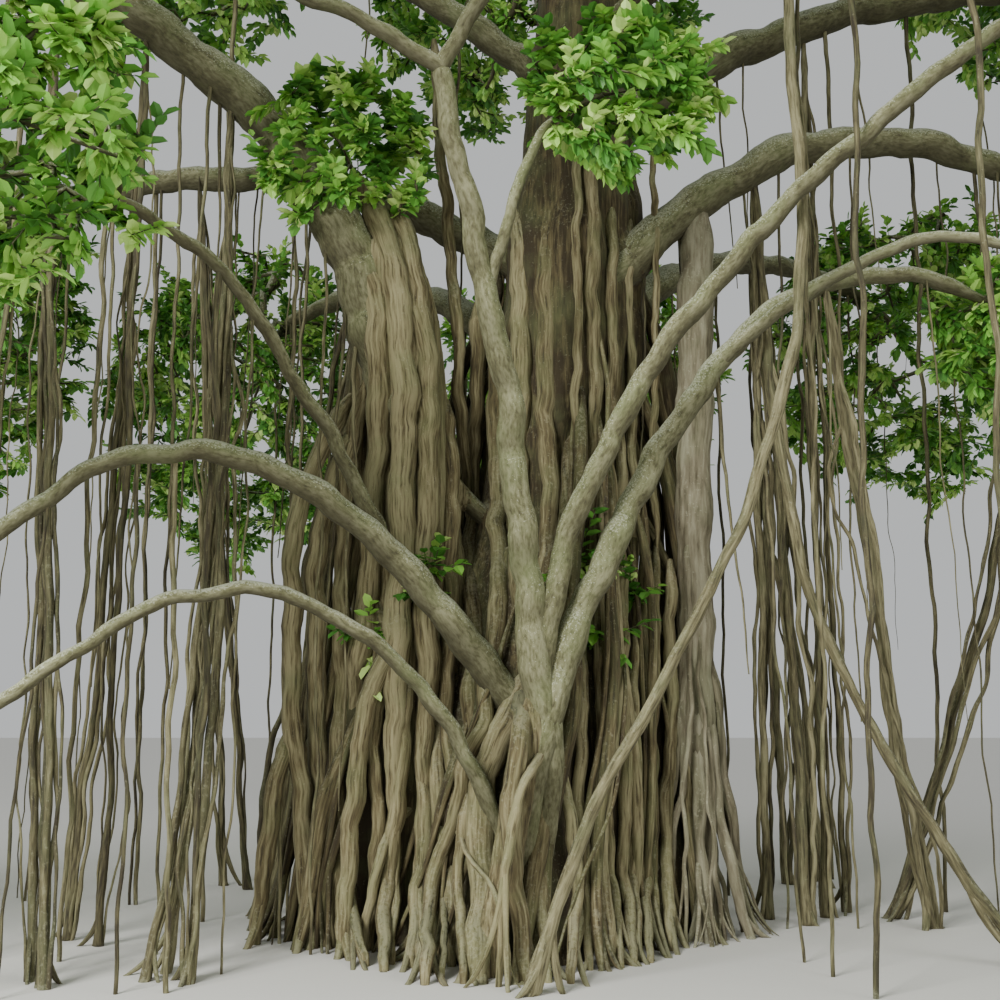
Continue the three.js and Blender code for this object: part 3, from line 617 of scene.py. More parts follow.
def intoLeaves(name, points, thick):
    # carries a limb on into its leaf mass, thinner and thinner
    way = points[-1] - points[-3]
    tips[name] = (points[-1], way / np.linalg.norm(way), thick[-1])
    for mass in masses.values():
        if mass["on"] == name:
            line = stemLine(mass, tips[name])
            line = line[1:int(len(line) * boughLook["intoLeaves"])]
            points = np.vstack([points, line])
            thick = np.concatenate([thick, thick[-1] * np.linspace(0.96, 0.2, len(line))])
    return points, thick


def resampled(points, thick, step):
    even = evenSteps(points, step)
    return even, np.interp(lengths(even), lengths(points) * lengths(even)[-1] / lengths(points)[-1], thick)


def stemSide(point, height):
    # the point at a height on the side, nearest to a point, of the nearest of the trunk's stems
    spots, sizes = [], []
    for stem in trunkStems:
        axis = centreLine(stem, 40)
        if stem["start"][2] < 0 and axis[-1, 2] > height:
            spots.append(pointAt(height, axis[:, 2], axis))
            sizes.append(np.interp(height, axis[:, 2], evenList(stem["radii"], np.linspace(0, 1, 41))))
    spots, sizes = np.array(spots), np.array(sizes)
    away = point[:2] - spots[:, :2]
    far = np.linalg.norm(away, axis=1)
    nearest = int(np.argmin(far - sizes))
    spot = spots[nearest].copy()
    spot[:2] += away[nearest] / far[nearest] * min(far[nearest], 0.4 * sizes[nearest])
    return spot


def withTail(points, thick, random):
    # below its fork the bough runs on down the stem that it leaves
    back = points[0] - points[4]
    back /= np.linalg.norm(back)
    low = points[0][2] < boughLook["lowFork"]
    length = points[0][2] if low else boughLook["tail"]
    foot = stemSide(points[0], max(0.0, points[0][2] - 0.95 * length))
    if low:
        foot[:2] += random.uniform(-1, 1, 2) * boughLook["lowSpread"]
        foot[2] = -0.05
    knee = points[0] + back * 0.35 * length
    count = max(8, int(length / boughLook["step"]))
    down = np.linspace(0, 1, count)[:0:-1]
    hidden = 3.0 if thick[0] > boughLook["slim"] * boughLook["stubFrom"] else 1.0
    slim = thick[0] * (1 - (1 - boughLook["tailThin"]) * np.minimum(1, hidden * down))
    return np.vstack([curved(points[0], knee, foot, down), points]), np.concatenate([slim, thick])


def joined(points, start):
    # a bough that grows from another one starts on that one's own line
    others = np.concatenate([strand["points"] for strand in limbLines.values()])
    fade = np.exp(-(lengths(points) / boughLook["join"]) ** 2)[:, None]
    return points + fade * (others[np.argmin(np.linalg.norm(others - start, axis=1))] - points[0])


def boughStrand(names, random):
    # one limb may be two nodes, split at the bend
    lines = [centreLine(boughs[name], 40) for name in names]
    radii = [np.linspace(boughs[name]["butt"], boughs[name]["tip"], 41) for name in names]
    points = np.concatenate([lines[0]] + [line[1:] for line in lines[1:]])
    thick = boughLook["slim"] * np.concatenate([radii[0]] + [part[1:] for part in radii[1:]])
    points, thick = resampled(points, thick, boughLook["step"])
    points = wandered(smoothed(points, 8), boughLook["wander"], boughLook["wanderSize"], random)
    points = wandered(points, 0.35 * boughLook["wander"], 0.4, random)
    fromBough = names[0] in boughLook["fromBoughs"]
    if fromBough:
        points = joined(points, lines[0][0])
    points, thick = intoLeaves(names[-1], points, thick)
    if not fromBough:
        points, thick = withTail(points, thick, random)
    points, thick = resampled(points, thick, boughLook["step"])
    thick = uneven(thick, lengths(points), *boughLook["girth"], random)
    thick[-2:] *= (0.8, 0.35)
    paler = boughLook["paler"] * (thick.mean() < boughLook["palerBelow"])
    return makeStrand(points, thick, random.uniform(*boughLook["tone"]) + paler, random)


def makeBoughs():
    whole = {}
    for name in boughs:
        whole.setdefault(name.replace("_rise", "").replace("_fall", ""), []).append(name)
    for index, (name, nodes) in enumerate(whole.items()):
        random = seeded(boughLook["seed"] + index)
        strand = boughStrand(nodes, random)
        for node in nodes:
            limbLines[node] = strand
        sides = boughLook["sides"][int(strand["thick"].mean() > boughLook["fineFrom"])]
        keepPiece(growLimbs(name, [strand], sides, boughLook["tube"], "figBoughBark"), nodes)


makeBoughs()
print("boughs grown:", len(limbLines))

trunkLook = {
    "seed": 60,
    "sides": 32,
    "voxel": 0.032,
    "cover": 0.22,  # low down the wall lies this share inside the source's, behind the clinging roots
    "footCover": 0.1,  # and this much more at the ground
    "damp": 0.5,  # painted shade: how much darker the whole wall is than the roots on it
    "dampLow": 0.25,  # and how much more painted shade at its foot
    "dampHeights": (1.5, 3.1),  # that ends between these heights
    "dry": 0.3,  # and how much lighter than that its free stems are, out of the painted shade
    "freeStem": (0.4, 0.64),  # the stem in front is worn slim, at the ground and under its knot
    "bareFrom": 2.0,
    "bareTo": 4.4,
    "lobeSize": 0.38,  # the trunk's grown-together stems, as shares of its radius
    "lobePlace": 0.7,
    "lobeWide": 0.3,  # metres of girth for each of them
    "lobeRange": (0.75, 1.15),
    "lobeGirth": (0.1, 1.1),
    "collar": 0.55,  # extra radius of a bough where it leaves the trunk
    "collarLength": 0.32,
    "stub": 1.0,  # metres of bough that are joined into the trunk
    "tube": (0.0, 1.0, 0.2, 0.0),
    "soften": 5,
    "flutes": 0.07,  # metres that the deep flutes and the narrow ribs go in and out
    "ribs": 0.03,
}


def bareness(height):
    # 0 low down, where roots hide the wall, and 1 up the trunk
    return np.clip((height - trunkLook["bareFrom"]) / (trunkLook["bareTo"] - trunkLook["bareFrom"]), 0, 1)


def trunkStrands():
    strands, stemLines = [], []
    for index, stem in enumerate(trunkStems):
        random = seeded(trunkLook["seed"] + index)
        t = np.linspace(0, 1, 61)
        points, thick = resampled(centreLine(stem, 60), smoothed(evenList(stem["radii"], t), 6), 0.07)
        bare = bareness(points[:, 2])
        covered = stem["radii"][0] > 0.3
        if not covered and not stem["carries"]:  # the free stem in front, worn slim under its knot
            thick = thick * np.interp(points[:, 2], (0, 1.3), trunkLook["freeStem"])
            thick = thick * np.clip((points[-1, 2] - points[:, 2]) / 0.5, 0.45, 1)
        whole = thick.copy()
        if covered:
            hollow = trunkLook["cover"] + trunkLook["footCover"] * np.clip(1 - points[:, 2] / 1.2, 0, 1)
            thick = thick * (1 - 0.12 * bare - hollow * (1 - bare))
        if stem["carries"]:
            points, thick = intoLeaves(stem["carries"], points, np.maximum(thick, 0.05))
        stemLines.append(makeStrand(points, thick, 0.5, random))
        if covered:
            strands += lobesOf(points[:len(whole)], whole, bare, random)
    return stemLines + strands, stemLines


def lobesOf(points, whole, bare, random):
    # stems that have grown together: they bulge out of the trunk and leave long furrows between them
    if bare.max() <= 0:
        return []
    first = int(np.argmax(bare > 0))
    line, radius, bare = points[first:], whole[first:], bare[first:]
    count = max(4, int(2 * np.pi * radius.mean() / trunkLook["lobeWide"]))
    lobes = []
    for index in range(count):
        run = lengths(line)
        angle = 2 * np.pi * (index + random.uniform(-0.3, 0.3)) / count + 0.25 * waves(run, 3.0, random)
        spot = pushed(line, angle, radius * trunkLook["lobePlace"] * (0.75 + 0.25 * bare))
        size = radius * trunkLook["lobeSize"] * random.uniform(*trunkLook["lobeRange"])
        size = uneven(size, run, *trunkLook["lobeGirth"], random)
        lobes.append(makeStrand(spot, size * (0.3 + 0.7 * bare), 0.5, random))
    return lobes


def boughStubs():
    # the first metre of each bough, thick at its foot, so that the trunk swells into it
    stubs = []
    for name, bough in boughs.items():
        line, thick = limbLines[name]["points"], limbLines[name]["thick"]
        if bough["butt"] < boughLook["stubFrom"]:
            continue
        run = lengths(line)
        part = run < boughLook["tail"] + trunkLook["stub"] * max(0.5, bough["butt"] / 0.2)
        tail = boughLook["tail"] * 0.9
        near = np.exp(-((run[part] - tail) / (trunkLook["collarLength"] * thick[0] / 0.12)) ** 2)
        fade = np.clip((run[part][-1] - run[part]) / 0.3, 0, 1)
        size = thick[part] * (1 + trunkLook["collar"] * near) * (0.7 + 0.3 * fade)
        stubs.append(makeStrand(line[part], size, 0.5))
    return stubs


def makeTrunkGrower():
    # turns the joined stems into bark: deep flutes that run down the trunk, then narrower ribs
    tree, given = newGrower("trunkGrower", {"Flutes": 0.1, "Ribs": 0.03, "Material": "Material"})
    position = addNode(tree, "GeometryNodeInputPosition")
    kept = addNode(tree, "GeometryNodeStoreNamedAttribute", {
        "Geometry": given["Geometry"], "Name": "barkPlace", "Value": position}, data_type="FLOAT_VECTOR")
    wide = addNode(tree, "ShaderNodeVectorMath", {0: position, 1: (1.0, 1.0, 0.11)}, operation="MULTIPLY")
    noise = addNode(tree, "ShaderNodeTexNoise", {"Vector": wide, "Scale": 4.0, "Detail": 2.0})
    wet = addNode(tree, "GeometryNodeInputNamedAttribute", {"Name": "wet"})
    # the tone is noise less the painted wall shade, so the shaded wall behind the roots comes out darker
    tone = addNode(tree, "ShaderNodeMath", {0: noise, 1: wet}, operation="SUBTRACT")
    toned = addNode(tree, "GeometryNodeStoreNamedAttribute", {
        "Geometry": kept, "Name": "tone", "Value": tone}, data_type="FLOAT")
    fluted = offsetAlong(tree, toned, wide, given["Flutes"], 5.0, 1.0)
    ribbed = offsetAlong(tree, fluted, wide, given["Ribs"], 17.0, 2.0)
    finishGrower(tree, ribbed, given["Material"])
    return tree


def paintWallShade(mesh, dryStems):
    # paints shade on the wall behind the roots; the free stem in front of it and the left stem get none and
    # are painted lighter higher up
    places = np.empty(len(mesh.vertices) * 3, np.float32)
    mesh.vertices.foreach_get("co", places)
    places = places.reshape(-1, 3)
    lowShadeFullTo, lowShadeGoneFrom = trunkLook["dampHeights"]
    low = 1 - np.clip((places[:, 2] - lowShadeFullTo) / (lowShadeGoneFrom - lowShadeFullTo), 0, 1)
    near = np.ones(len(places))
    for stem in dryStems:
        points = stem["points"]
        axis = np.stack([np.interp(places[:, 2], points[:, 2], points[:, k]) for k in (0, 1)], 1)
        size = np.interp(places[:, 2], points[:, 2], stem["thick"])
        off = np.linalg.norm(places[:, :2] - axis, axis=1) - 1.1 * size - 0.06
        off += np.clip((points[0, 2] - places[:, 2]) / 5, 0, 1)
        near = np.minimum(near, np.clip(off / 0.1, 0, 1))
    wet = (trunkLook["damp"] + trunkLook["dampLow"] * low) * near - trunkLook["dry"] * (1 - near) * (1 - low)
    mesh.attributes.new("wet", "FLOAT", "POINT").data.foreach_set("value", wet)


def makeTrunk():
    strands, stemLines = trunkStrands()
    strands = strands + boughStubs()
    body = growLimbs("trunkStems", strands, trunkLook["sides"], trunkLook["tube"], "figRootBark")
    weld = body.modifiers.new("weld", "REMESH")
    weld.mode = "VOXEL"
    weld.voxel_size = trunkLook["voxel"]
    soften = body.modifiers.new("soften", "SMOOTH")
    soften.iterations = trunkLook["soften"]
    settled(body)
    wall = BVHTree.FromObject(body, bpy.context.evaluated_depsgraph_get())
    mesh = body.data
    bpy.data.objects.remove(body)
    paintWallShade(mesh, (stemLines[3], stemLines[-1]))
    trunk = grow("trunk", mesh, makeTrunkGrower(), {
        "Flutes": trunkLook["flutes"], "Ribs": trunkLook["ribs"], "Material": barks["figRootBark"]})
    keepPiece(trunk, ["trunk"])
    return wall, stemLines


wall, stems = makeTrunk()
print("trunk grown:", len(pieces[-1].data.polygons), "faces")

coreLine = stems[0]["points"]


def axisAt(height):
    return np.array([np.interp(height, coreLine[:, 2], coreLine[:, axis]) for axis in (0, 1)])


def wallAt(angle, height):
    # the trunk's wall in a direction from its main stem
    way = Vector((math.cos(angle), math.sin(angle), 0))
    middle = axisAt(height)
    hit = wall.ray_cast(Vector((middle[0], middle[1], max(height, 0.02))) + way * 4, -way)
    return np.array(hit[0]) if hit[0] is not None else None


clingingRoots = {
    "count": 105,
    "seed": 7,
    "step": 0.06,
    "tops": (1.7, 6.4),
    "shade": ((-0.2, 0.45), (0.05, 0.95)),  # the tones of those on the left side, darkened as painted shade, and elsewhere
    "footTaper": (0.8, 1.9),  # between these heights a wide root of the photograph narrows to its foot
    "thick": (0.018, 0.076),
    "slender": (1.1, 1.7),  # the power that keeps most of them thin, on the left side and elsewhere
    "wander": 0.045,  # radians that a root strays to either side
    "wanderSize": 2.2,
    "crossing": 0.16,  # the share that runs slantwise over the others, low down
    "slant": (0.2, 0.55),
    "gap": (0.05, 0.13),  # metres from the wall to the root's middle, low down
    "hang": (0.65, 1.0),  # how far it hangs straight down instead of following the wall
    "hangBend": 2.4,
    "jump": 0.12,  # a root starts below the last place where the wall under it steps by this much
    "shortest": 1.2,
    "emerge": 0.9,  # metres over which it comes out of the wall
    "footSpread": (-0.06, 0.24),
    "notch": (-2.65, -1.85, 1.9),  # between these angles roots start no higher than this
    "footHeight": 0.25,
    "footThin": 0.45,  # a root thins this much where it divides
    "toesFrom": 0.024,  # thicker roots divide into toes at the ground
    "toeHeight": 0.5,
    "toeReach": (0.07, 0.26),
    "girth": (0.14, 0.9),
    "inFront": 0.45,  # the share of them kept in front, where the roots follow the photograph
    "frontSeed": 300,
    "frontTone": (0.45, 0.95),
    "frontGirth": (0.1, 0.8),
    "frontWander": ((0.018, 1.1), (0.01, 0.45)),
    "frontGap": 0.08,  # how much further out the front ones run low down
    "buried": 0.07,  # and how deep in the wall they begin
    "sides": 9,
    "tube": (0.2, 1.0, 0.7, 0.3),
}


def outwardAt(points):
    out = points[:, :2] - np.array([axisAt(z) for z in points[:, 2]])
    return out / np.linalg.norm(out, axis=1)[:, None]


def toesOf(strand, random, out=None):
    # a root divides above the ground and its toes part, outwards from the trunk or in a given direction
    points, thick = strand["points"], strand["thick"]
    fork = np.argmin(np.abs(points[:, 2] - clingingRoots["toeHeight"] * random.uniform(0.4, 1.3)))
    top = points[fork]
    out = outwardAt(top[None])[0] if out is None else out
    side = np.array([-out[1], out[0]])
    toes = []
    for turn in random.permutation([-1.0, 0.3, 1.0])[:random.integers(1, 3)]:
        reach = random.uniform(*clingingRoots["toeReach"])
        foot = points[-1].copy()
        foot[:2] += reach * (out * random.uniform(0.1, 0.7) + side * turn * 0.9)
        knee = np.array([*(0.8 * top[:2] + 0.2 * foot[:2]), 0.3 * top[2]])
        line = curved(top, knee, foot, np.linspace(0, 1, 9))
        toes.append(makeStrand(line, thick[fork] * np.linspace(0.8, 0.42, 9), strand["tone"], random))
    return toes


def ruledRoots():
    # roots at a golden angle round the trunk, each running down its wall
    random = seeded(clingingRoots["seed"])
    strands = []
    for index in range(clingingRoots["count"]):
        angle = index * goldenTurn
        top = between(clingingRoots["tops"], random, 1.2)
        crosses = random.random() < clingingRoots["crossing"]
        top = min(top, 2.6) if crosses else top
        first, last, most = clingingRoots["notch"]
        if first < math.remainder(angle, 2 * math.pi) < last:
            top = min(top, most)
        heights = np.arange(top, -0.06, -clingingRoots["step"])
        run = top - heights
        wide = clingingRoots["wander"] * random.uniform(0.4, 1.6)
        strays = wide * waves(run, clingingRoots["wanderSize"], random) * np.minimum(1, run / 0.8)
        if crosses:
            strays += random.choice([-1, 1]) * random.uniform(*clingingRoots["slant"]) * run / top
        hits = [wallAt(angle + stray, z) for stray, z in zip(strays, heights)]
        if any(hit is None for hit in hits):
            continue
        if math.sin(angle) < -0.35 and random.random() > clingingRoots["inFront"]:
            continue
        points = np.array(hits)
        points[:, 2] = heights
        middles = np.array([axisAt(z) for z in heights])
        reach = np.linalg.norm(points[:, :2] - middles, axis=1)
        steps = np.flatnonzero(np.abs(np.diff(reach)) > clingingRoots["jump"])
        first = steps[-1] + 1 if len(steps) else 0
        if heights[first] < clingingRoots["shortest"]:
            continue
        points, heights, reach = points[first:], heights[first:], reach[first:]
        top, run = heights[0], run[first:] - run[first]
        foot = 0.95 * reach[np.argmin(np.abs(heights - 0.3))]
        straight = foot + (reach[0] - foot) * (np.maximum(heights, 0) / top) ** clingingRoots["hangBend"]
        hang = random.uniform(*clingingRoots["hang"]) * np.maximum(straight - reach, 0)
        side = 0 if math.cos(angle) < -0.35 else 1
        thick = between(clingingRoots["thick"], random, clingingRoots["slender"][side])
        thick = uneven(thick, run, *clingingRoots["girth"], random) * (0.6 if crosses else 1)
        apart = random.uniform(*clingingRoots["gap"]) + 0.05 * crosses
        out = np.clip(run / clingingRoots["emerge"], 0, 1)
        out = out * out * (3 - 2 * out)
        stand = (apart + (0.2 * thick - apart) * bareness(heights) + hang) * out - 1.6 * thick * (1 - out)
        near = nearGround(heights, clingingRoots["footHeight"])
        spread = between(clingingRoots["footSpread"], random, 2)
        points[:, :2] += outwardAt(points) * (stand + spread * near)[:, None]
        thick = thick * (1 - clingingRoots["footThin"] * near) * (0.5 + 0.5 * out)
        tone = random.uniform(*clingingRoots["shade"][side])
        strand = makeStrand(smoothed(points, 16), thick, tone, random)
        strands.append(strand)
        if thick[len(thick) // 2] > clingingRoots["toesFrom"]:
            strands += toesOf(strand, random)
    return strands


# The roots that stand out in front: width in pixels, how far in front of the wall they run, what else
# differs, and their track from top to foot as x and y in the photograph's pixels
frontRoots = [
    (19, 0.0, {}, (352, 395, 322, 445, 300, 500, 292, 560, 292, 640, 294, 742, 302, 800, 305, 860,
     309, 915)),
    (18, 0.03, {}, (293, 725, 279, 765, 268, 830, 256, 930)),
    (20, -0.1, {}, (362, 420, 330, 480, 315, 560, 316, 660, 320, 800, 318, 915)),
    (17, -0.08, {}, (366, 380, 350, 450, 342, 540, 342, 660, 338, 800, 331, 920)),
    (24, 0.01, {"tone": 0.8}, (342, 205, 360, 245, 376, 300, 380, 360, 378, 430, 372, 540, 364, 640,
     352, 720)),
    (27, 0.03, {"foot": 0.36, "tone": 0.95}, (366, 195, 384, 235, 397, 285, 402, 340, 404, 420, 402, 540,
     398, 640, 392, 740, 396, 830, 392, 955)),
    (24, 0.01, {"foot": 0.42, "tone": 0.75}, (392, 205, 408, 245, 420, 300, 427, 370, 430, 450, 424, 560,
     428, 660, 424, 780, 416, 860, 420, 965)),
    (18, -0.02, {"foot": 0.5}, (446, 400, 452, 480, 450, 600, 446, 700, 452, 780, 446, 870, 442, 970)),
    (17, -0.02, {}, (478, 300, 476, 420, 470, 540, 474, 640, 468, 760)),
    (20, 0.0, {}, (498, 330, 496, 450, 500, 560, 494, 660, 478, 740)),
    (19, 0.1, {}, (408, 596, 400, 628, 386, 658, 366, 692, 358, 780, 347, 853, 343, 950)),
    (12, 0.1, {}, (350, 870, 352, 920, 366, 956)),
    (14, -0.02, {}, (376, 560, 380, 660, 374, 760, 378, 830, 370, 940)),
    (11, 0.14, {}, (422, 800, 394, 820, 374, 868, 364, 945)),
    (17, 0.03, {}, (402, 640, 404, 745, 398, 818, 388, 846, 384, 966)),
    (15, 0.05, {}, (416, 730, 426, 822, 420, 880, 410, 962)),
    (16, 0.0, {}, (440, 700, 436, 780, 446, 850, 452, 960)),
    (16, 0.14, {}, (497, 640, 482, 674, 489, 722, 464, 763, 457, 815, 434, 863, 425, 966)),
    (12, 0.08, {}, (488, 745, 470, 790, 458, 860, 463, 975)),
    (5, 0.16, {"ramp": 0.06}, (455, 828, 476, 866, 500, 900, 510, 975)),
    (29, 0.02, {"tone": 0.88}, (532, 668, 520, 694, 505, 722, 491, 752, 481, 790, 482, 870, 477, 985)),
    (20, 0.04, {}, (522, 690, 520, 730, 516, 760, 513, 801, 512, 870, 526, 975)),
    (14, 0.02, {}, (530, 700, 536, 742, 546, 790, 540, 880, 548, 975)),
    (10, 0.14, {}, (561, 700, 552, 735, 532, 768, 516, 792, 506, 880, 498, 978)),
    (13, 0.08, {}, (552, 735, 562, 780, 574, 822, 577, 870, 571, 972)),
    (13, 0.03, {}, (580, 600, 582, 700, 580, 800, 586, 880, 590, 965)),
    (11, 0.05, {}, (598, 540, 599, 700, 604, 820, 596, 900, 590, 965)),
    (10, 0.02, {}, (609, 500, 612, 660, 608, 800, 612, 890, 622, 962)),
    (13, 0.04, {}, (620, 420, 621, 600, 626, 760, 624, 880, 634, 960)),
    (9, 0.05, {}, (634, 480, 636, 700, 632, 860, 640, 955)),
    (11, 0.03, {}, (643, 500, 646, 700, 644, 840, 650, 955)),
    (10, 0.05, {}, (656, 540, 655, 700, 652, 860, 660, 945)),
    (13, 0.04, {}, (670, 560, 672, 700, 664, 860, 672, 945)),
    (12, 0.05, {}, (434, 40, 439, 110, 443, 182, 452, 260, 457, 330, 462, 430, 472, 540)),
    (9, 0.08, {}, (574, 90, 577, 180, 578, 330, 575, 480, 578, 620)),
    (15, 0.05, {}, (590, 120, 592, 190, 593, 330, 595, 470, 590, 600)),
    (12, 0.06, {}, (611, 200, 613, 330, 610, 480, 616, 600)),
    (10, 0.06, {}, (629, 215, 630, 350, 634, 480, 636, 600)),
    (7, 0.1, {}, (650, 60, 652, 120, 655, 200, 657, 330, 652, 470, 658, 560)),
    (20, 0.0, {}, (548, 220, 545, 360, 550, 500, 545, 640)),
    (22, 0.0, {}, (520, 210, 522, 350, 516, 480, 524, 640)),
]


def throughPixel(u, v):
    values = cameraValues
    scale = values["sensor"] / values["lens"] / values["pixels"]
    ray = Vector(((u - values["pixels"] / 2) * scale, (values["pixels"] / 2 - v) * scale, -1))
    return camera.rotation_euler.to_matrix() @ ray.normalized()


def wallDepth(u, v):
    # how far away the wall is at a pixel, or at its edge where the pixel just misses it
    for step in range(10):
        inward = 12 * step * (1 if u < 480 else -1)
        hit = wall.ray_cast(camera.location, throughPixel(u + inward, v))
        if hit[0] is not None:
            return hit[3]
    return np.nan


def trackedRoots():
    # a pixel's ray meets the trunk's wall, so each of these lies on the trunk
    strands = []
    for index, (wide, apart, special, track) in enumerate(frontRoots):
        random = seeded(clingingRoots["frontSeed"] + index)
        track = np.array(track, float).reshape(-1, 2)
        fine = evenSteps(np.column_stack([track, np.zeros(len(track))]), 9.0)
        fine = smoothed(fine, 6)
        rays = np.array([throughPixel(u, v) for u, v, _ in fine])
        depths = np.array([wallDepth(u, v) for u, v, _ in fine])
        known = ~np.isnan(depths)
        depths = np.interp(np.arange(len(depths)), np.flatnonzero(known), depths[known])
        depths = np.minimum(smoothed(depths, 60), smoothed(depths, 10) + 0.03)
        line = np.array(camera.location) + rays * depths[:, None]
        out = np.clip(lengths(line) / special.get("ramp", 0.5), 0, 1)
        if line[-1, 2] > 0.35:  # one that joins the others higher up goes back into the wall
            out = np.minimum(out, np.clip((lengths(line)[-1] - lengths(line)) / 0.5, 0, 1))
        depths -= (apart + clingingRoots["frontGap"] * (1 - bareness(line[:, 2]))) * out
        depths += clingingRoots["buried"] * (1 - out)
        line = np.array(camera.location) + rays * depths[:, None]
        if line[-1, 2] < 0.35:
            line = np.vstack([line, [*line[-1, :2], -0.05]])
        line = evenSteps(line, clingingRoots["step"])
        for amount, size in clingingRoots["frontWander"]:
            line = wandered(line, amount, size, random)
        pixel = depths.mean() * cameraValues["sensor"] / cameraValues["lens"] / cameraValues["pixels"]
        run = lengths(line)
        thick = uneven(0.5 * wide * pixel, run, *clingingRoots["frontGirth"], random)
        thick = thick * np.interp(line[:, 2], clingingRoots["footTaper"], (special.get("foot", 1), 1))
        near = nearGround(line[:, 2], clingingRoots["footHeight"])
        thick = thick * (1 - clingingRoots["footThin"] * near) * np.clip(0.4 + run / 0.3, 0, 1)
        if line[-1, 2] > 0.3:  # one that joins the others higher up ends inside them, thin
            thick = thick * np.clip(0.25 + (run[-1] - run) / 0.5, 0, 1)
        tone = special.get("tone", random.uniform(*clingingRoots["frontTone"]))
        strand = makeStrand(line, thick, tone, random)
        strands.append(strand)
        if line[-1, 2] < 0.05:
            strands += toesOf(strand, random)
    return strands


def makeTrunkRoots():
    strands = ruledRoots() + trackedRoots()
    near = [strand for strand in strands if strand["points"][-1, 1] < 0]
    far = [strand for strand in strands if strand["points"][-1, 1] >= 0]
    for name, part in (("clingingRootsNear", near), ("clingingRootsFar", far)):
        piece = growLimbs(name, part, clingingRoots["sides"], clingingRoots["tube"], "figRootBark")
        keepPiece(piece)
        print(name, len(part), "roots")


makeTrunkRoots()

hangingLook = {
    "seed": 500,
    "step": 0.06,
    "wander": 0.024,
    "wanderSize": 2.3,
    "companions": 3,  # thinner roots that run beside each drawn one
    "alone": ("root_pole", "roots_lean_front"),
    "companionThick": (0.3, 0.65),
    "twine": (1.6, 5.5),  # distance from the drawn root, in its radii
    "twineTurns": (0.05, 0.35),
    "twineWaves": (0.3, 1.4),
    "mergeHeight": 1.1,  # below this the strands of a cluster draw together into one foot
    "slim": 0.62,
    "footSwell": 0.6,  # how much thicker a root is at the ground, and how far up that reaches
    "footHeight": 0.3,
    "pillarFrom": 0.1,  # a thicker root is a pillar
    "tone": (0.2, 0.8),
    "companionTone": (0.1, 0.9),
    "girth": (0.12, 0.8),
    "companionGirth": (0.14, 0.5),
    "sides": 11,
    "tube": (0.18, 1.0, 0.8, 0.35),
}

pillarLook = {
    # the roots that part from the pillar: direction, top, the height from which it leans away, how far its
    # foot stands off, and its share of the pillar's radius
    "legs": ((-2.9, 2.9, 2.1, 0.38, 0.5), (0.05, 5.4, 2.4, 0.26, 0.36), (-0.6, 2.1, 1.5, 0.26, 0.4),
             (-1.75, 2.0, 1.4, 0.2, 0.42), (2.3, 2.5, 1.9, 0.3, 0.5), (1.2, 2.1, 1.6, 0.28, 0.45)),
    "threads": 16,  # thin roots that run down between them
    "threadThick": (0.012, 0.03),
    "threadTop": (0.8, 3.4),
    "threadReach": (0.04, 0.36),
    "legHug": 0.55,  # how far out on the pillar they run, in its radii
    "threadHug": 0.95,
    "legTone": (0.3, 0.7),
    "threadTone": (-0.1, 0.5),
    "girth": (0.1, 0.7),
    "slim": 0.8,
    "slimmer": 0.4,  # how much thinner the pillar itself is at the ground
}


def rootStrands(name, root, random):
    parent = limbLines[root["from"]]["points"]
    start = pointAt(root["at"], np.linspace(0, 1, 41), centreLine(boughs[root["from"]], 40))
    start = parent[np.argmin(np.linalg.norm(parent - start, axis=1))]
    pillar = root["thick"] > hangingLook["pillarFrom"]
    strands = []
    for index, foot in enumerate(root["feet"]):
        limb = {**root, "start": start, "end": (*foot, -0.15)}
        line = evenSteps(centreLine(limb, 60), hangingLook["step"])
        stray = hangingLook["wander"] * (0.4 if pillar else 1.0)
        line = wandered(line, stray, hangingLook["wanderSize"], random)
        line = wandered(line, stray * 0.2, 0.6, random)
        thick = root["thick"] * (1 - 0.14 * index) * (pillarLook if pillar else hangingLook)["slim"]
        if not pillar:
            near = nearGround(line[:, 2], hangingLook["footHeight"])
            thick = thick * (1 + hangingLook["footSwell"] * near)
        run = lengths(line)
        thick = uneven(thick, run, *hangingLook["girth"], random) * np.clip(0.5 + run / 0.7, 0, 1)
        strand = makeStrand(line, thick, random.uniform(*hangingLook["tone"]), random)
        strands.append(strand)
        if pillar:
            strands += legsOf(strand, random)
            continue
        strands += toesOf(strand, random, heading(random.uniform(0, 2 * np.pi)))
        if name not in hangingLook["alone"]:
            strands += companionsOf(strand, random)
    return strands


def beside(strand, first, angle, away, share, random):
    # a strand that keeps to one side of another, at a distance that may change along it
    part, own = strand["points"][first:], strand["thick"][first:]
    run = lengths(part)
    away = away * np.clip(run / 0.4, 0.1, 1) * np.clip(0.3 + part[:, 2] / hangingLook["mergeHeight"], 0, 1)
    part = wandered(pushed(part, angle, away), 0.012, 0.9, random)
    slim = uneven(own * share, run, *hangingLook["companionGirth"], random)
    return makeStrand(part, slim, random.uniform(*hangingLook["companionTone"]), random)


def companionsOf(strand, random):
    made = []
    for index in range(hangingLook["companions"]):
        first = int(len(strand["points"]) * random.uniform(0, 0.4))
        run = lengths(strand["points"][first:])
        turns = random.uniform(*hangingLook["twineTurns"]) * random.choice([-1, 1])
        angle = index * goldenTurn + random.uniform(0, 1) + 2 * np.pi * turns * run / max(run[-1], 3)
        base = strand["thick"][:len(run)].mean()
        away = base * random.uniform(*hangingLook["twine"])
        away = uneven(away, run, *hangingLook["twineWaves"], random)
        share = random.uniform(*hangingLook["companionThick"])
        made.append(beside(strand, first, angle, away, share, random))
    return made


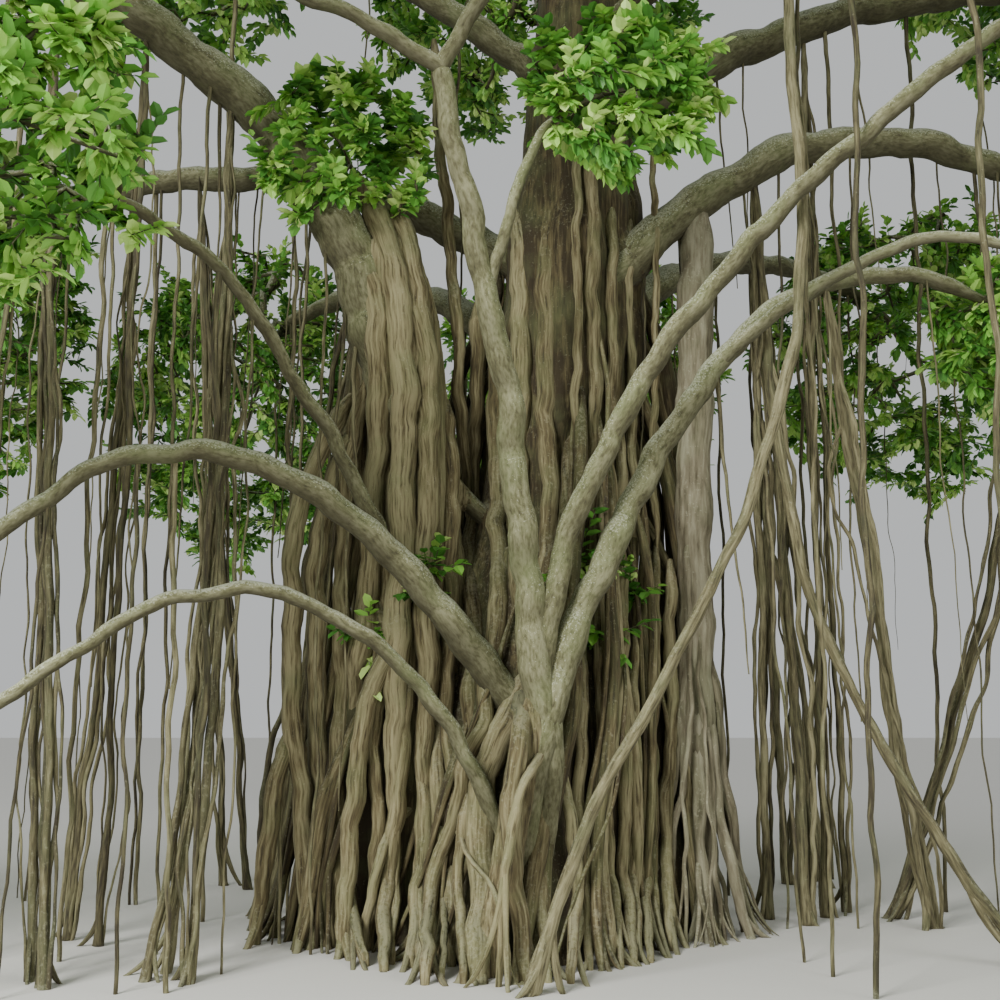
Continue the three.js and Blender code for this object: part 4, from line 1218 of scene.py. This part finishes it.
def legOf(strand, angle, top, height, reach, hug, thick, tone, random):
    # a root that clings to the pillar from its top and leans away from it below a height
    part = strand["points"][:, 2] < top
    line, own = strand["points"][part], strand["thick"][part]
    run = lengths(line)
    drop = np.clip((height - line[:, 2]) / height, 0, 1)
    away = (hug * own + reach * drop ** 1.3) * np.clip(run / 0.5, 0, 1)
    turn = angle + 0.12 * waves(run, 1.6, random)
    line = wandered(pushed(line, turn, away), 0.014, 0.8, random)
    slim = thick * (1 - 0.35 * drop) * np.clip(0.4 + run / 0.8, 0, 1)
    leg = makeStrand(line, uneven(slim, run, *pillarLook["girth"], random), tone, random)
    return [leg] + toesOf(leg, random, heading(angle))


def legsOf(strand, random):
    # a pillar: roots grown together high up that part and spread towards the ground
    made = []
    size = strand["thick"].mean()
    for angle, top, height, reach, share in pillarLook["legs"]:
        tone = random.uniform(*pillarLook["legTone"])
        made += legOf(strand, angle, top, height, reach, pillarLook["legHug"], size * share, tone, random)
    for index in range(pillarLook["threads"]):
        top = random.uniform(*pillarLook["threadTop"])
        reach = random.uniform(*pillarLook["threadReach"])
        thick = random.uniform(*pillarLook["threadThick"])
        tone = random.uniform(*pillarLook["threadTone"])
        hug = pillarLook["threadHug"]
        made += legOf(strand, index * goldenTurn, top, 0.7 * top, reach, hug, thick, tone, random)
    strand["thick"] = strand["thick"] * (1 - pillarLook["slimmer"] * nearGround(strand["points"][:, 2], 1.0))
    return made


def makePropRoots():
    for index, (name, root) in enumerate(propRoots.items()):
        strands = rootStrands(name, root, seeded(hangingLook["seed"] + index))
        bark = "figPillarBark" if root["thick"] > hangingLook["pillarFrom"] else "figHangingRootBark"
        piece = growLimbs(name, strands, hangingLook["sides"], hangingLook["tube"], bark)
        keepPiece(piece, [name])


makePropRoots()
print("hanging roots grown")

freeRoots = {
    "seed": 41,
    "from": {  # how many thin roots hang from each bough, and over which part of it
        "bough_left_high": (24, 0.16, 0.95), "bough_right_back": (12, 0.2, 0.98),
        "bough_right_top": (8, 0.3, 0.98), "bough_left_back": (18, 0.2, 0.95),
        "bough_left_rising": (3, 0.5, 0.9), "bough_back": (7, 0.35, 0.95),
        "bough_back_left": (7, 0.35, 0.95), "bough_back_right": (8, 0.35, 0.95),
        "bough_right_low": (4, 0.55, 0.98), "bough_front_high": (3, 0.4, 0.8),
        "bough_left_arch_rise": (5, 0.5, 0.75), "leader_left": (3, 0.4, 0.9),
    },
    "thick": (0.006, 0.018),
    "tone": (0.1, 0.7),
    "reachGround": 0.6,  # the share of them that has reached the ground
    "sway": 0.026,
    "sides": 6,
    "tube": (0.2, 1.0, 3.0, 0.3),
}


def makeFreeRoots():
    random = seeded(freeRoots["seed"])
    strands = []
    for name, (count, first, last) in freeRoots["from"].items():
        parent = limbLines[name]
        run = lengths(parent["points"])
        for index in range(count):
            at = run[-1] * (first + (last - first) * (index + random.random()) / count)
            start = pointAt(at, run, parent["points"])
            start[:2] += np.interp(at, run, parent["thick"]) * random.uniform(-0.7, 0.7)
            grounded = random.random() < freeRoots["reachGround"]
            foot = -0.1 if grounded else start[2] * random.uniform(0.15, 0.75)
            end = np.array([*(start[:2] + random.normal(0, 0.1, 2)), foot])
            line = evenSteps(np.array([start, end]), 0.09)
            line = wandered(line, freeRoots["sway"], 1.6, random)
            line = wandered(line, freeRoots["sway"] * 0.2, 0.5, random)
            thick = random.uniform(*freeRoots["thick"])
            taper = np.linspace(1.15, 1.0 if grounded else 0.35, len(line))
            strands.append(makeStrand(line, thick * taper, random.uniform(*freeRoots["tone"]), random))
    piece = growLimbs("freeHangingRoots", strands, freeRoots["sides"], freeRoots["tube"],
                      "figHangingRootBark")
    keepPiece(piece)
    print("free roots grown:", len(strands))


makeFreeRoots()

crownLook = {
    "seed": 700,
    "twigsPerArea": 268,  # twigs in a mass, for each square metre of its mean reach squared
    "dense": {"leaves_centre": 1.3, "leaves_left_stem": 1.3, "leaves_right_low": 1.2},
    "uneven": {"leaves_centre": 0.42, "leaves_left_stem": 0.3},  # how far its rim goes in and out
    "unevenElse": 0.12,
    "clumps": 22,  # a mass is made of this many clumps, with sky between them
    "clumpAt": 0.86,
    "clumpPull": 0.2,
    "shells": (0.42, 0.98),
    "shellPower": 0.55,
    "stray": 0.07,
    "inset": 0.13,  # a twig's end stays this share inside its mass, to leave room for its leaves
    "margin": 0.085,  # and this share away from its neighbours
    "clearance": 0.06,  # and so many metres from the limbs
    "shortest": 0.06,
    "joints": (0.55, 1.0),
    "jointStray": 0.025,
    "runCost": 0.1,  # what makes a joint look further away: its run from the limb, being a twig's end, and
    "endCost": 0.3,  # the twigs that it has already
    "usedCost": 0.12,
    "tipThick": 0.0032,
    "pipePower": 0.45,  # a branch's radius grows with the twigs it carries, to this power
    "sag": 0.05,
    "leavesPerTwig": 12,
    "leafLength": (0.088, 0.138),
    "leafWidth": 0.62,
    "leafSpan": 0.46,  # metres of the twig's end that carry leaves
    "droop": 0.3,
    "leafStray": 0.16,
    "faceStray": 0.28,
    "tintStray": 0.16,
    "twigTone": (0.2, 0.8),
    "twigSides": 3,
    "twigTube": (0.0, 1.0, 1.0, 0.0),
}


def meanReach(mass):
    return math.prod(mass["reach"]) ** (1 / 3)


def inSpace(name, points, margin):
    # inside the mass's reach and on its side of each neighbour
    mass = masses[name]
    out = points - np.array(mass["centre"])
    fine = np.linalg.norm(out / (np.array(mass["reach"]) - margin), axis=1) <= 1
    own = meanReach(mass)
    for other, neighbour in masses.items():
        if other != name:
            way = np.array(neighbour["centre"]) - np.array(mass["centre"])
            apart = np.linalg.norm(way)
            fine &= out @ way / apart < apart * own / (own + meanReach(neighbour)) - margin
    return fine


limbPoints, limbRadii = (np.concatenate([strand[key] for strand in (*limbLines.values(), *stems)])
                         for key in ("points", "thick"))


def clearOfLimbs(points, margin):
    gaps = np.linalg.norm(points[:, None] - limbPoints[None], axis=2) - limbRadii[None]
    return gaps.min(1) > margin


def evenWays(count, turn):
    # directions spread evenly over a sphere by the golden angle
    step = np.arange(count)
    up = 1 - 2 * (step + 0.5) / count
    around = step * goldenTurn + turn
    flat = np.sqrt(1 - up * up)
    return np.stack([flat * np.cos(around), flat * np.sin(around), up], 1)


def twigTargets(name, index, start, random):
    # where the twigs end: evenly round the mass, drawn a little towards its clumps, the nearest first
    mass = masses[name]
    size = meanReach(mass)
    centre, room = np.array(mass["centre"]), np.array(mass["reach"]) - crownLook["inset"] * size
    count = int(crownLook["twigsPerArea"] * crownLook["dense"].get(name, 1) * size ** 2)
    ways = evenWays(count, index)
    low, high = crownLook["shells"]
    shares = low + (high - low) * random.random(count) ** crownLook["shellPower"]
    bumps = np.sin(3.6 * ways + random.uniform(0, 7, 3)).prod(1)
    shares *= 1 - crownLook["uneven"].get(name, crownLook["unevenElse"]) * (0.5 + 0.5 * bumps)
    targets = centre + ways * shares[:, None] * room
    targets += random.normal(0, crownLook["stray"] * size, targets.shape)
    clumps = centre + evenWays(crownLook["clumps"], index) * crownLook["clumpAt"] * room
    nearest = np.argmin(np.linalg.norm(targets[:, None] - clumps[None], axis=2), axis=1)
    targets += crownLook["clumpPull"] * (clumps[nearest] - targets)
    inside = inSpace(name, targets, crownLook["margin"] * size)
    targets = targets[inside & clearOfLimbs(targets, crownLook["clearance"])]
    return targets[np.argsort(np.linalg.norm(targets - start, axis=1))]


def growMass(name, index):
    # each target takes the joint that looks nearest, and the twigs' radii add up to the limb's
    mass = masses[name]
    random = seeded(crownLook["seed"] + index)
    size = meanReach(mass)
    stem = stemLine(mass, tips[mass["on"]])[::2]
    targets = twigTargets(name, index, stem[0], random)
    used = len(stem)
    parents = list(range(-1, used - 1))
    nodes = np.zeros((used + 3 * len(targets), 3))
    cost = np.full(len(nodes), np.inf)
    nodes[:used] = stem
    cost[:used] = crownLook["runCost"] * size * np.linspace(0, 1, used)
    cost[:3] += 3 * size  # the stem's foot stays bare
    ends = []
    for target in targets:
        far = np.linalg.norm(nodes[:used] - target, axis=1) + cost[:used]
        last = int(np.argmin(far))
        base = nodes[last].copy()
        span = np.linalg.norm(target - base)
        if span < crownLook["shortest"]:
            continue
        cost[last] += crownLook["usedCost"] * size
        for share in crownLook["joints"]:
            place = base + (target - base) * share
            place[2] -= crownLook["sag"] * span * math.sin(math.pi * share)
            place += random.normal(0, crownLook["jointStray"] * span, 3) * (share < 1)
            nodes[used] = place
            cost[used] = crownLook["runCost"] * size * (1 + share)
            cost[used] += crownLook["endCost"] * size * (share == 1)
            parents.append(last)
            last = used
            used += 1
        ends.append(last)
    nodes, parents = nodes[:used], np.array(parents)
    load = np.zeros(used)
    load[ends] = 1
    for node in range(used - 1, 0, -1):
        load[parents[node]] += load[node]
    thick = crownLook["tipThick"] * np.maximum(load, 1) ** crownLook["pipePower"]
    thick = np.minimum(thick, tips[mass["on"]][2] * 0.98)
    return {"nodes": nodes, "parents": parents, "thick": thick, "ends": np.array(ends), "random": random,
            "centre": np.array(mass["centre"])}


def twigStrands(grown):
    # the tree of joints as chains, each from a fork to a twig's end, the longest first
    nodes, parents, thick = grown["nodes"], grown["parents"], grown["thick"]
    children = np.bincount(parents[parents >= 0], minlength=len(nodes))
    depth = np.zeros(len(nodes), int)
    for node in range(1, len(nodes)):
        depth[node] = depth[parents[node]] + 1 if parents[node] >= 0 else 0
    free = [node for node in range(len(nodes) - 1, -1, -1) if children[node] == 0]
    taken = np.zeros(len(nodes), bool)
    strands = []
    for end in sorted(free, key=lambda node: -depth[node]):
        chain = [end]
        while parents[chain[-1]] >= 0:
            chain.append(parents[chain[-1]])
            if taken[chain[-1]]:
                break
        taken[chain] = True
        chain = chain[::-1]
        radii = thick[chain].copy()
        radii[0] = min(radii[0], thick[chain[1]] * 1.15)
        radii[-1] *= 0.6
        tone = grown["random"].uniform(*crownLook["twigTone"])
        strands.append(makeStrand(nodes[chain], radii, tone, grown["random"]))
    return strands


def leafPoints(grown):
    # leaves alternate along the end of each twig, lean out and hang a little
    random, nodes, parents, ends = grown["random"], grown["nodes"], grown["parents"], grown["ends"]
    count = crownLook["leavesPerTwig"]
    axis = nodes[ends] - nodes[parents[parents[ends]]]
    span = np.linalg.norm(axis, axis=1, keepdims=True)
    axis = axis / span
    t = np.tile((np.arange(count) + 0.5) / count, len(ends))
    which = np.repeat(np.arange(len(ends)), count)
    reach = np.minimum(crownLook["leafSpan"], span[which, 0])
    along = axis[which]
    places = nodes[ends][which] - along * (reach * (1 - t))[:, None]
    # each leaf stands to one side, turned by the golden angle from the one before
    side = np.cross(along, [0.0, 0.0, 1.0]) + 1e-4
    side /= np.linalg.norm(side, axis=1, keepdims=True)
    rise = np.cross(side, along)
    angle = np.tile(np.arange(count), len(ends)) * goldenTurn
    angle = angle + np.repeat(random.uniform(0, 7, len(ends)), count)
    lateral = side * np.cos(angle)[:, None] + 0.55 * rise * np.sin(angle)[:, None]
    lie = along * (0.55 + 0.7 * t)[:, None] + 0.95 * lateral + np.array([0, 0, -crownLook["droop"]])
    lie += random.normal(0, crownLook["leafStray"], places.shape)
    lie /= np.linalg.norm(lie, axis=1, keepdims=True)
    face = np.array([0, 0, 1.0]) + 0.55 * rise + 0.35 * (places - grown["centre"]) / 2
    face += random.normal(0, crownLook["faceStray"], places.shape)
    length = random.uniform(*crownLook["leafLength"], len(places)) * (1 - 0.25 * np.abs(t - 0.45))
    tint = np.repeat(random.random(len(ends)), count) + random.normal(0, crownLook["tintStray"], len(places))
    return {"place": places, "lie": lie, "face": face, "length": length, "tint": tint}


greens = {  # painted shade to painted sun, dealt out at random, with the share of leaves that is at least so light
    "figLeafDeep": ("#487e30", 0.0),
    "figLeafMid": ("#649f3d", 0.2),
    "figLeafFresh": ("#82b84c", 0.45),
    "figLeafLight": ("#9fcb5e", 0.74),
    "figLeafYoung": ("#bddb7c", 0.93),
}
leafWax = {"rough": 0.46, "specular": 0.35}


def makeGreen(name):
    # one plain colour, waxy, that holds its step of painted shade to sun; the rest of the crown's light and
    # shade comes from how each leaf lies
    material, shader = newMaterial(name)
    shader.inputs["Base Color"].default_value = fromHex(greens[name][0])
    shader.inputs["Roughness"].default_value = leafWax["rough"]
    shader.inputs["Specular IOR Level"].default_value = leafWax["specular"]
    return material


def leafShape():
    # a fig leaf of six corners: blunt oval with a short tip, folded a little along its midrib
    mesh = bpy.data.meshes.new("leafShape")
    half = crownLook["leafWidth"] / 2
    corners = [(0, 0, 0), (0.3, half, 0.07), (0.74, half * 0.8, 0.04), (1.0, 0, -0.08),
               (0.74, -half * 0.8, 0.04), (0.3, -half, 0.07)]
    mesh.from_pydata(corners, [], [(0, 3, 2, 1), (0, 5, 4, 3)])
    return mesh


def makeLeafGrower(materials):
    # a leaf at each point, turned as the point says and coloured by the point's tint
    tree, given = newGrower("leafGrower", {"Leaf": "Object"})
    leaf = addNode(tree, "GeometryNodeObjectInfo", {"Object": given["Leaf"]}).outputs["Geometry"]
    lie, face = (addNode(tree, "GeometryNodeInputNamedAttribute", {"Name": key}, data_type="FLOAT_VECTOR")
                 for key in ("lie", "face"))
    length, tint = (addNode(tree, "GeometryNodeInputNamedAttribute", {"Name": key})
                    for key in ("length", "tint"))
    turned = addNode(tree, "FunctionNodeAxesToRotation", {"Primary Axis": lie, "Secondary Axis": face},
                     primary_axis="X", secondary_axis="Z")
    spread = addNode(tree, "GeometryNodeInstanceOnPoints", {
        "Points": given["Geometry"], "Instance": leaf, "Rotation": turned, "Scale": length})
    last = addNode(tree, "GeometryNodeRealizeInstances", {"Geometry": spread})
    for name, material in materials.items():
        lighter = addNode(tree, "FunctionNodeCompare", {"A": tint, "B": greens[name][1] or -9.0},
                          operation="GREATER_EQUAL")
        last = addNode(tree, "GeometryNodeSetMaterial", {
            "Geometry": last, "Selection": lighter, "Material": material})
    addNode(tree, "NodeGroupOutput", {"Geometry": last})
    return tree


def leafMesh(name, leaves):
    columns = {key: np.concatenate([part[key] for part in leaves]) for key in leaves[0]}
    mesh = pointMesh(name, columns.pop("place"), columns)
    mesh.update()
    return mesh


# The crown's masses by region, so that each joined piece stays small enough to export
regions = {
    "Left": ("leaves_left", "leaves_left_low", "leaves_left_near", "leaves_left_stem"),
    "Front": ("leaves_front_left", "leaves_front", "leaves_centre"),
    "Right": ("leaves_right", "leaves_right_low", "leaves_right_thin", "leaves_right_front"),
    "FrontRight": ("leaves_front_right", "leaves_right_high", "leaves_mid_right"),
    "Back": ("leaves_back_right", "leaves_back", "leaves_mid_back"),
    "BackLeft": ("leaves_back_left", "leaves_left_back"),
    "Top": ("leaves_mid_left", "leaves_top"),
}

trunkSprigs = {  # short leafy sprigs that sprout from the trunk, by pixel of the photograph
    "places": ((344, 604), (366, 640), (420, 596), (430, 575),
               (552, 606), (575, 560), (632, 600), (600, 640)),
    "seed": 77,
    "twigs": 6,
    "reach": (0.14, 0.3),
    "thick": 0.004,
    "region": "Front",
}


def growSprigs():
    random = seeded(trunkSprigs["seed"])
    nodes, parents = [], []
    for u, v in trunkSprigs["places"]:
        ray = throughPixel(u, v)
        hit = wall.ray_cast(camera.location, ray)[0]
        if hit is None:
            continue
        out = np.array([-ray.x, -ray.y, 0.35])  # back towards where the pixel is seen from, and up
        for _ in range(trunkSprigs["twigs"]):
            way = out + random.normal(0, 0.55, 3)
            way *= random.uniform(*trunkSprigs["reach"]) / np.linalg.norm(way)
            first = len(nodes)
            nodes += [np.array(hit) + way * share for share in (-0.2, 0.8, 1.6)]
            parents += [-1, first, first + 1]
    ends = np.arange(2, len(nodes), 3)
    return {"nodes": np.array(nodes), "parents": np.array(parents), "ends": ends, "random": random,
            "thick": np.full(len(nodes), trunkSprigs["thick"]), "centre": np.mean(nodes, axis=0)}


def makeCrown():
    materials = {name: makeGreen(name) for name in greens}
    leaf = linkObject("leafShape", leafShape())
    leaf.hide_render = True
    leafGrower = makeLeafGrower(materials)
    order = list(masses)
    for region, names in regions.items():
        grown = [growMass(name, order.index(name)) for name in names]
        if region == trunkSprigs["region"]:
            grown.append(growSprigs())
        leaves = [leafPoints(part) for part in grown]
        foliage = grow("leaves" + region, leafMesh("leaves" + region, leaves), leafGrower, {"Leaf": leaf})
        foliage.data.polygons.foreach_set("use_smooth", [False] * len(foliage.data.polygons))
        keepPiece(foliage, names)
        strands = [strand for part in grown for strand in twigStrands(part)]
        twigs = growLimbs("twigs" + region, strands, crownLook["twigSides"], crownLook["twigTube"],
                          "figBoughBark")
        keepPiece(twigs)
        print(region, len(foliage.data.polygons), "leaf faces,", len(twigs.data.polygons), "twig faces")
    bpy.data.objects.remove(leaf)


makeCrown()

for piece in pieces:
    piece.data.calc_loop_triangles()
counts = {piece.name: len(piece.data.loop_triangles) for piece in pieces}
print("triangles in all:", sum(counts.values()), "and in the largest piece:", max(counts.values()))
